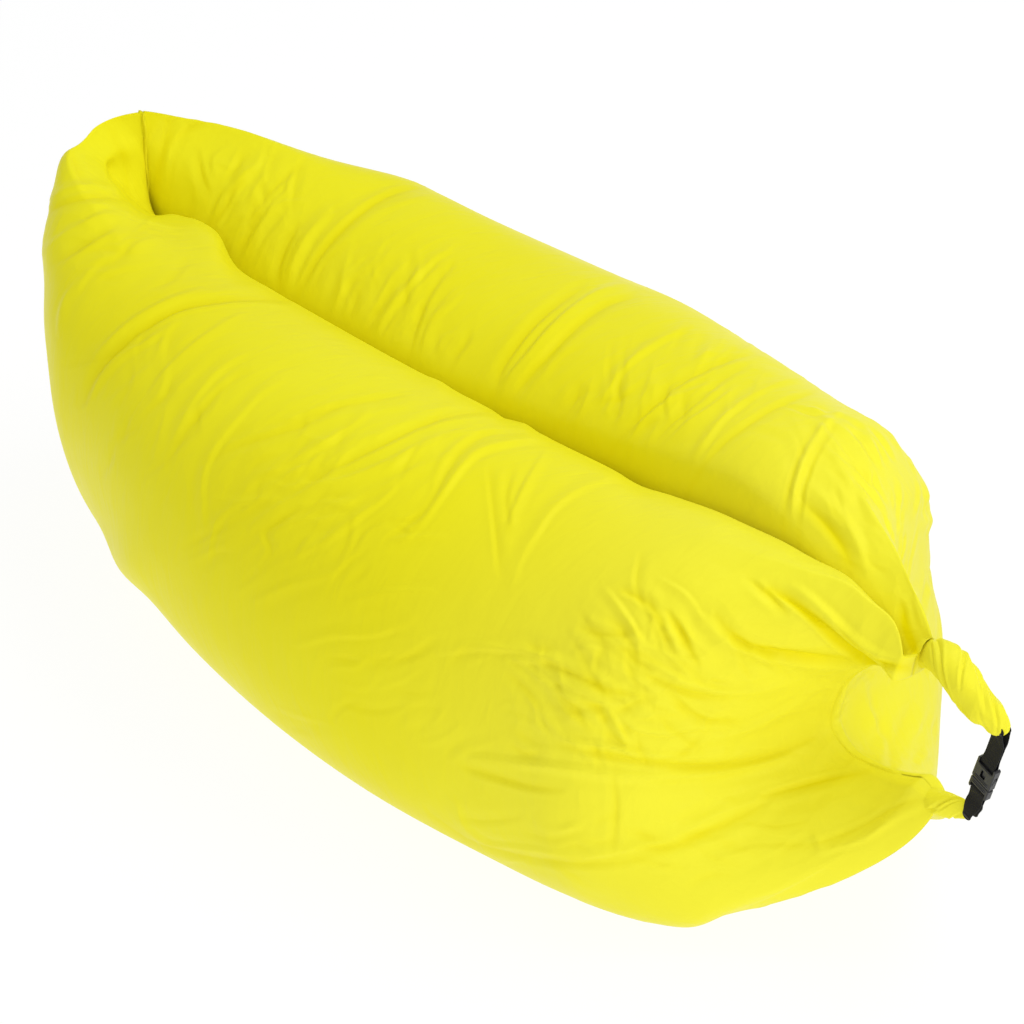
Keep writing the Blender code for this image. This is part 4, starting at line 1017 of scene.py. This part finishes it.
# ---------------------------------------------------------------- the rolled mouth and its twisted arms
def tube_grid(shares, half_n, half_y, count, wobble):
    """Rings along the roll's path. wobble gives each point's share of the radius."""
    centre, normal = roll_axis(shares)
    angle = 2 * np.pi * np.arange(count) / count
    swell = wobble(angle[None, :], (shares * roll_path.length)[:, None], shares[:, None])
    out, beside = half_n[:, None] * np.cos(angle) * swell, half_y[:, None] * np.sin(angle) * swell
    x, y, z = (centre[:, k : k + 1] for k in range(3))
    return np.stack([x + normal[:, :1] * out, y + beside, z + normal[:, 1:] * out], axis=-1)


# (turn at the start, metres along at start and end, turns made on the way, depth and half width in mm)
WRINGS = [
    (0.10, 0.575, 0.700, 0.55, 3.0, 2.6), (0.42, 0.565, 0.690, 0.60, 3.4, 2.8), (0.74, 0.570, 0.735, 0.80, 3.0, 2.8),
    (0.28, 0.590, 0.660, 0.35, 2.4, 2.0), (0.60, 0.585, 0.650, 0.30, 2.6, 2.0), (0.90, 0.580, 0.645, 0.34, 2.4, 2.0),
    (0.35, 0.655, 0.745, 0.40, 2.2, 2.2), (0.02, 0.668, 0.742, 0.30, 2.0, 2.2), (0.66, 0.690, 0.748, 0.20, 1.8, 2.0),
    (0.15, -0.010, 0.090, -0.55, 3.2, 2.4), (0.48, -0.010, 0.095, -0.60, 3.4, 2.6), (0.80, -0.010, 0.090, -0.60, 3.0, 2.4),
    (0.32, 0.006, 0.060, -0.35, 2.2, 1.8), (0.64, 0.004, 0.066, -0.30, 2.4, 1.8), (0.97, 0.010, 0.070, -0.32, 2.2, 1.8),
]  # fmt: skip


def twisted(angle, metres_along, share):
    """The arms are wrung: sharp creases wind round them, with rounded lobes between."""
    arm = np.clip((share - 0.74) / 0.05, 0, 1) + np.clip((0.16 - share) / 0.05, 0, 1)
    radius = 0.020
    swell = 1 + 0.05 * np.sin(2 * angle - 38 * metres_along) + 0.03 * np.sin(3 * angle + 61 * metres_along + 1)
    for turned, begins, ends, turns, depth, width in WRINGS:
        t = (metres_along - begins) / (ends - begins)
        there = np.clip(t * (1 - t) * 4, 0, 1) ** 0.6
        centre = 2 * np.pi * (turned + turns * t) + 0.25 * np.sin(5 * t + 9 * turned)
        away = (angle - centre + np.pi) % (2 * np.pi) - np.pi
        slant = radius * 2 * np.pi * turns / (ends - begins)
        d = np.abs(away) * radius / math.hypot(1, slant) / (width / 1000)
        swell = swell - there * depth / 1000 / radius * (np.exp(-(d**1.1)) - 0.42 * np.exp(-((d - 2.2) ** 2)))
    return 1 + arm * (swell - 1)


shares = np.concatenate([np.linspace(0, 0.2, 170), np.linspace(0.2, 0.7, 61)[1:-1], np.linspace(0.7, 1, 260)])
roll_n, roll_y = roll_size(shares)
# both ends of the cloth are turned in, round the webbing
ends = np.minimum(shares, 1 - shares) * roll_path.length
rounded = np.sqrt(np.clip(1 - (1 - np.clip(ends / 0.010, 0, 1)) ** 2, 0.02, 1))
roll_grid = tube_grid(shares, roll_n * rounded, roll_y * rounded, 128, twisted)
along, around = metres(roll_grid)
roll_normal = normals_of(roll_grid, 1.0)
if ((roll_grid - roll_grid.mean(axis=1, keepdims=True)) * roll_normal).sum() < 0:
    roll_normal = -roll_normal
roll_flip = (
    np.cross(roll_grid[40, 11] - roll_grid[40, 10], roll_grid[41, 10] - roll_grid[40, 10]) @ roll_normal[40, 10]
) < 0
mesh = grid_mesh("mouth_roll_cloth", roll_grid, np.stack([along, around], -1), roll_flip)
attribute(mesh, "fold", np.zeros(roll_grid.shape[:2]))
attribute(mesh, "crush", np.full(roll_grid.shape[:2], 0.8))
yellow["roll"] = cloth_material("yellow_cloth_roll", 3.0)
roll = add_piece("mouth_roll_cloth", mesh, yellow["roll"], replaces=("mouth_roll",))


# ---------------------------------------------------------------- seams
def strip_grid(centre, wide, thick, half_wide, half_thick, count=16, squareness=4.0):
    """Rings of a soft-edged strip: centre, and the unit ways across and through it, at each ring."""
    angle = 2 * np.pi * np.arange(count) / count
    c, s = np.cos(angle), np.sin(angle)
    c = np.sign(c) * np.abs(c) ** (2 / squareness)
    s = np.sign(s) * np.abs(s) ** (2 / squareness)
    half_wide, half_thick = (np.broadcast_to(v, len(centre)) for v in (half_wide, half_thick))
    return (
        centre[:, None]
        + wide[:, None] * (half_wide[:, None] * c)[..., None]
        + thick[:, None] * (half_thick[:, None] * s)[..., None]
    )


def strip_mesh(name, grid):
    along, around = metres(grid)
    normal = normals_of(grid, 1.0)
    if ((grid - grid.mean(axis=1, keepdims=True)) * normal).sum() < 0:
        normal = -normal
    m = len(grid) // 2
    flip = (np.cross(grid[m, 3] - grid[m, 2], grid[m + 1, 2] - grid[m, 2]) @ normal[m, 2]) < 0
    made = grid_mesh(name, grid, np.stack([along, around], -1), flip)
    attribute(made, "fold", np.zeros(grid.shape[:2]))
    attribute(made, "crush", np.full(grid.shape[:2], 0.3))
    return made


def seam_material(name, seed):
    """Folded seam allowance with two rows of lock stitches."""
    made = cloth_material(name, seed, bright=(0.86, 0.79, 0.02), deep=(0.74, 0.64, 0.006))
    nodes, links = made.node_tree.nodes, made.node_tree.links
    shader = nodes["Principled BSDF"]
    uv = nodes.new("ShaderNodeUVMap").outputs["UV"]
    dots = nodes.new("ShaderNodeTexWave")
    dots.bands_direction = "X"
    dots.inputs["Scale"].default_value = 0.31416 / 0.0032
    links.new(uv, dots.inputs["Vector"])
    rows = nodes.new("ShaderNodeTexWave")
    rows.bands_direction = "Y"
    rows.inputs["Scale"].default_value = 0.31416 / 0.006
    links.new(uv, rows.inputs["Vector"])
    row = ramp(nodes, links, rows.outputs["Fac"], [(0.86, 0.0), (0.97, 1.0)])
    stitch = math_node(nodes, links, "MULTIPLY", dots.outputs["Fac"], row.outputs["Color"])
    before = shader.inputs["Normal"].links[0].from_socket
    links.new(bump(nodes, links, stitch, 0.8, 0.0008, before), shader.inputs["Normal"])
    return made


rng = np.random.default_rng(17)
t = np.linspace(0, 1, 140)
hem_z = 0.014 + (CLOSED_TOP - 0.017) * t
ripple = 0.0011 * np.sin(2 * np.pi * 9 * t + 1.2 * np.sin(2 * np.pi * 4 * t))
hem_centre = np.stack([np.full(140, CLOSED_X - 0.0036 + SHIFT_X) + 0.5 * ripple, ripple, hem_z], axis=1)
hem_grid = strip_grid(
    hem_centre,
    np.tile([1.0, 0.0, 0.0], (140, 1)),
    np.tile([0.0, 1.0, 0.0], (140, 1)),
    0.0096 * (1 - 0.25 * (2 * t - 1) ** 12),
    0.0026 * (1 - 0.3 * (2 * t - 1) ** 12),
)
add_piece(
    "closed_hem_cloth", strip_mesh("closed_hem_cloth", hem_grid), seam_material("hem_cloth", 4.0),
    replaces=("closed_end_hem",),
)

spine = []
for ring in shapes["near"][0][8:-30:4]:
    low = ring[: ring.shape[0] // 4]
    touching = np.flatnonzero(low[:, 1] > -0.013)
    j = touching[0] if len(touching) else len(low) - 1
    spine.append((low[j, 0], 0.0, low[j, 2]))
spine = np.array(spine)
for _ in range(12):
    spine[1:-1] = 0.5 * spine[1:-1] + 0.25 * (spine[:-2] + spine[2:])
spine[:, 2] = np.maximum(spine[:, 2], 0.0125)
way = np.gradient(spine, axis=0)
way /= np.linalg.norm(way, axis=1, keepdims=True)
beside = np.tile([0.0, 1.0, 0.0], (len(spine), 1))
spine_grid = strip_grid(spine, np.cross(way, beside), beside, 0.009, 0.0011)
add_piece(
    "spine_seam_cloth", strip_mesh("spine_seam_cloth", spine_grid), seam_material("spine_cloth", 5.0),
    replaces=("spine_seam",),
)

# ---------------------------------------------------------------- webbing
WEB_WIDTH, WEB_THICK, LEG_AT, MALE_END = 0.025, 0.0016, 0.0062, 0.0545
lower_end, upper_end = (np.array(ROLL_PATH[k]) + [SHIFT_X, 0] for k in (0, -1))
span = float(np.linalg.norm(lower_end - upper_end))
down = (lower_end - upper_end) / span
UPPER_FREE = (span - MALE_END) * 0.56
LOWER_FREE = span - MALE_END - UPPER_FREE
top = upper_end + down * UPPER_FREE
axis_x, axis_y, axis_z = np.array([down[1], 0, -down[0]]), np.array([0, 1.0, 0]), np.array([down[0], 0, down[1]])
corner = np.array([top[0], 0, top[1]])


def placed(local):
    """Points of the buckle's own frame: x across it, y through it, z from the upper arm to the lower."""
    local = np.asarray(local, float)
    return corner + local[..., :1] * axis_x + local[..., 1:2] * axis_y + local[..., 2:] * axis_z


def web_material(name, seed):
    """Black polyester webbing: cords along it, crossed by a twill, with painted shade between them that leaves the
    crowns lighter grey.
    """
    made, nodes, links = material(name)
    shader = nodes["Principled BSDF"]
    uv = nodes.new("ShaderNodeUVMap").outputs["UV"]
    cords = nodes.new("ShaderNodeTexWave")
    cords.bands_direction = "Y"
    cords.inputs["Scale"].default_value = 0.31416 / 0.0021
    links.new(uv, cords.inputs["Vector"])
    turned = nodes.new("ShaderNodeMapping")
    turned.inputs["Rotation"].default_value = (0, 0, math.radians(38))
    links.new(uv, turned.inputs["Vector"])
    twill = nodes.new("ShaderNodeTexWave")
    twill.bands_direction = "X"
    twill.inputs["Scale"].default_value = 0.31416 / 0.0012
    links.new(turned.outputs["Vector"], twill.inputs["Vector"])
    height = math_node(nodes, links, "ADD", math_node(nodes, links, "MULTIPLY", cords.outputs["Fac"], 0.7), math_node(nodes, links, "MULTIPLY", twill.outputs["Fac"], 0.5))
    place = nodes.new("ShaderNodeTexCoord").outputs["Object"]
    fuzz = noise(nodes, links, place, 900.0 + seed, 2.0)
    # painted shade: the colour is darker between the cords and twill and lighter grey on their crowns, mixed with
    # random fuzz
    shade = math_node(nodes, links, "ADD", math_node(nodes, links, "MULTIPLY", height, 0.5), math_node(nodes, links, "MULTIPLY", fuzz.outputs["Fac"], 0.4))
    tone = ramp(nodes, links, shade, [(0.25, (0.003, 0.003, 0.004)), (0.85, (0.014, 0.014, 0.016))])
    links.new(tone.outputs["Color"], shader.inputs["Base Color"])
    links.new(ramp(nodes, links, fuzz.outputs["Fac"], [(0.3, 0.55), (0.7, 0.75)]).outputs["Color"], shader.inputs["Roughness"])
    shader.inputs["Specular IOR Level"].default_value = 0.22
    links.new(bump(nodes, links, height, 0.9, 0.0006), shader.inputs["Normal"])
    return made


def loop_line(bar, tip_z, leg_end):
    """Out of the arm's end, together, round the bar and back."""
    toward = math.copysign(1, bar - tip_z)
    bend = 0.0034
    half = [
        (LEG_AT, leg_end),
        (LEG_AT, tip_z - toward * 0.008),
        (LEG_AT - 0.0008, tip_z - toward * 0.002),
        (0.0034, tip_z + toward * 0.005),
        (0.0017, tip_z + toward * 0.011),
        (0.0014, bar - toward * 0.016),
        (0.0022, bar - toward * 0.010),
        (bend, bar - toward * 0.003),
    ]
    arc = [(bend * math.cos(a), bar + toward * bend * math.sin(a)) for a in np.linspace(0, math.pi, 13)]
    return np.array(half + arc + [(-y, z) for y, z in reversed(half)])


def webbing(name, line, seed):
    at = np.concatenate([[0], np.cumsum(np.linalg.norm(np.diff(line, axis=0), axis=1))])
    fine = np.linspace(0, at[-1], 240)
    line = np.stack([np.interp(fine, at, line[:, k]) for k in (0, 1)], axis=1)
    for _ in range(10):
        line[1:-1] = 0.5 * line[1:-1] + 0.25 * (line[:-2] + line[2:])
    way = np.gradient(line, axis=0)
    way /= np.linalg.norm(way, axis=1, keepdims=True)
    centre = placed(np.stack([0 * line[:, 0], line[:, 0], line[:, 1]], axis=1))
    through = placed(np.stack([0 * line[:, 0], -way[:, 1], way[:, 0]], axis=1)) - corner
    wide = np.tile(axis_x, (len(line), 1))
    to_end = np.minimum(fine, fine[-1] - fine)
    gather = np.clip((to_end - 0.006) / 0.022, 0, 1)
    gather = 0.60 + 0.40 * gather * gather * (3 - 2 * gather)
    tongue = np.sqrt(np.clip(1 - (1 - np.clip(to_end / 0.005, 0, 1)) ** 2, 0.08, 1))
    half = WEB_WIDTH / 2 * gather * tongue * (1 + 0.006 * np.sin(fine * 900))
    grid = strip_grid(centre, wide, through, half, WEB_THICK / 2, count=56, squareness=7.0)
    return strip_mesh(name, grid)


upper_line = loop_line(0.003, -UPPER_FREE, -UPPER_FREE - 0.018)
mesh = webbing("upper_webbing_weave", upper_line, 1)
upper_web = bpy.data.objects.new("upper_webbing_weave", mesh)
scene.collection.objects.link(upper_web)
mesh.materials.append(web_material("upper_web", 1.0))
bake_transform(upper_web)
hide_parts("upper_webbing")
lower_line = loop_line(MALE_END - 0.003, MALE_END + LOWER_FREE - 0.012, MALE_END + LOWER_FREE + 0.0085)
add_piece(
    "lower_webbing_weave", webbing("lower_webbing_weave", lower_line, 2), web_material("lower_web", 2.0),
    replaces=("lower_webbing",),
)

thread_made, thread_nodes, thread_links = material("black_thread")
thread_shader = thread_nodes["Principled BSDF"]
thread_place = thread_nodes.new("ShaderNodeTexCoord").outputs["Object"]
thread_links.new(
    ramp(thread_nodes, thread_links, noise(thread_nodes, thread_links, thread_place, 700.0).outputs["Fac"],
         [(0.3, (0.008, 0.008, 0.009)), (0.7, (0.03, 0.03, 0.031))]).outputs["Color"],
    thread_shader.inputs["Base Color"],
)
thread_links.new(
    bump(thread_nodes, thread_links, noise(thread_nodes, thread_links, thread_place, 1400.0, 2.0).outputs["Fac"], 0.5, 0.0003),
    thread_shader.inputs["Normal"],
)
thread_shader.inputs["Roughness"].default_value = 0.6


def tack(name, replaced, at_z, sign):
    """A bar tack: one thread laid in a tight zigzag."""
    inner = LEG_AT + WEB_THICK / 2 + 0.0002
    swings = 20
    t = np.linspace(0, 1, swings * 6)
    x = -0.0065 + 0.013 * t
    phase = 2 * np.pi * swings * t / 2
    z = at_z + 0.0015 * np.sin(phase)
    y = sign * (inner + 0.00025 + 0.00012 * np.cos(2 * phase))
    centre = placed(np.stack([x, y, z], axis=1))
    way = np.gradient(centre, axis=0)
    way /= np.linalg.norm(way, axis=1, keepdims=True)
    out = np.tile(axis_y * sign, (len(t), 1))
    grid = strip_grid(centre, np.cross(way, out), out, 0.00042, 0.00026, count=8, squareness=2.0)
    add_piece(name, strip_mesh(name, grid), thread_made, replaces=(replaced,))


for arm, at_z in (("upper", -UPPER_FREE - 0.010), ("lower", MALE_END + LOWER_FREE + 0.0035)):
    for side_name, sign in (("near", -1), ("far", 1)):
        tack(f"{arm}_bar_tack_{side_name}", f"{arm}_tack_{side_name}", at_z, sign)

# ---------------------------------------------------------------- buckle
plastic, plastic_nodes, plastic_links = material("buckle_acetal")
plastic_shader = plastic_nodes["Principled BSDF"]
plastic_place = plastic_nodes.new("ShaderNodeTexCoord").outputs["Object"]
plastic_links.new(
    ramp(plastic_nodes, plastic_links, noise(plastic_nodes, plastic_links, plastic_place, 60.0).outputs["Fac"],
         [(0.3, (0.009, 0.009, 0.010)), (0.7, (0.016, 0.016, 0.018))]).outputs["Color"],
    plastic_shader.inputs["Base Color"],
)
plastic_links.new(
    ramp(plastic_nodes, plastic_links, noise(plastic_nodes, plastic_links, plastic_place, 240.0).outputs["Fac"], [(0.3, 0.26), (0.7, 0.40)]).outputs["Color"],
    plastic_shader.inputs["Roughness"],
)
plastic_links.new(
    bump(plastic_nodes, plastic_links, noise(plastic_nodes, plastic_links, plastic_place, 2600.0, 2.0).outputs["Fac"], 0.25, 0.0002),
    plastic_shader.inputs["Normal"],
)
for name in ("buckle_female", "buckle_male", "prong_left", "prong_right"):
    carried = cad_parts[name]
    carried.data.materials.clear()
    carried.data.materials.append(plastic)
    soft = carried.modifiers.new("soft_edges", "BEVEL")
    soft.width, soft.segments, soft.limit_method, soft.angle_limit = 0.0004, 2, "ANGLE", math.radians(35)


def ribs(name, body, places, half, faces_y=(-0.005, 0.005)):
    """Rounded finger ribs across the buckle's two faces."""
    points, faces = [], []
    for z in places:
        for y in faces_y:
            out = math.copysign(1, y)
            for k, x in enumerate(np.linspace(-half, half, 13)):
                fade = math.sqrt(max(0.0, 1 - (x / half) ** 6))
                for a in np.linspace(0, math.pi, 7):
                    points.append((x, y - out * 0.0002 + out * 0.0010 * fade * math.sin(a), z + 0.0010 * math.cos(a)))
                if k:
                    base = len(points) - 14
                    for m in range(6):
                        faces.append((base + m, base + m + 1, base + m + 8, base + m + 7))
                    faces.append((base + 6, base, base + 7, base + 13))
            first = len(points) - 13 * 7
            faces.append(tuple(range(first, first + 7)))
            faces.append(tuple(reversed(range(len(points) - 7, len(points)))))
    mesh = bpy.data.meshes.new(name)
    mesh.from_pydata(placed(np.array(points)).tolist(), [], faces)
    mesh.validate()
    work = bmesh.new()
    work.from_mesh(mesh)
    bmesh.ops.recalc_face_normals(work, faces=work.faces)
    work.to_mesh(mesh)
    work.free()
    mesh.shade_smooth()
    return add_piece(name, mesh, plastic, body=body)


ribs("male_grip_ribs", "lounger", (0.0405, 0.0432), 0.0140)
ribs("female_grip_ribs", "female_half", (0.0108, 0.0296, 0.0323), 0.0140)

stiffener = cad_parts["mouth_stiffener"]
strip_made, strip_nodes, strip_links = material("stiffener_strip")
strip_place = strip_nodes.new("ShaderNodeTexCoord").outputs["Object"]
strip_links.new(
    ramp(strip_nodes, strip_links, noise(strip_nodes, strip_links, strip_place, 30.0).outputs["Fac"],
         [(0.3, (0.68, 0.68, 0.65)), (0.7, (0.78, 0.78, 0.75))]).outputs["Color"],
    strip_nodes["Principled BSDF"].inputs["Base Color"],
)
stiffener.data.materials.clear()
stiffener.data.materials.append(strip_made)

floor_mesh = bpy.data.meshes.new("floor")
floor_mesh.from_pydata([(-20, -20, -0.0005), (20, -20, -0.0005), (20, 20, -0.0005), (-20, 20, -0.0005)], [], [(0, 1, 2, 3)])
floor = bpy.data.objects.new("floor", floor_mesh)
scene.collection.objects.link(floor)
floor_made, floor_nodes, floor_links = material("floor_paper")
floor_shader = floor_nodes["Principled BSDF"]
floor_shader.inputs["Base Color"].default_value = (0.12, 0.12, 0.12, 1)
floor_shader.inputs["Roughness"].default_value = 0.9
floor_shader.inputs["Specular IOR Level"].default_value = 0.1
floor_shader.inputs["Emission Color"].default_value = (1, 1, 1, 1)
floor_shader.inputs["Emission Strength"].default_value = 0.905
floor_mesh.materials.append(floor_made)
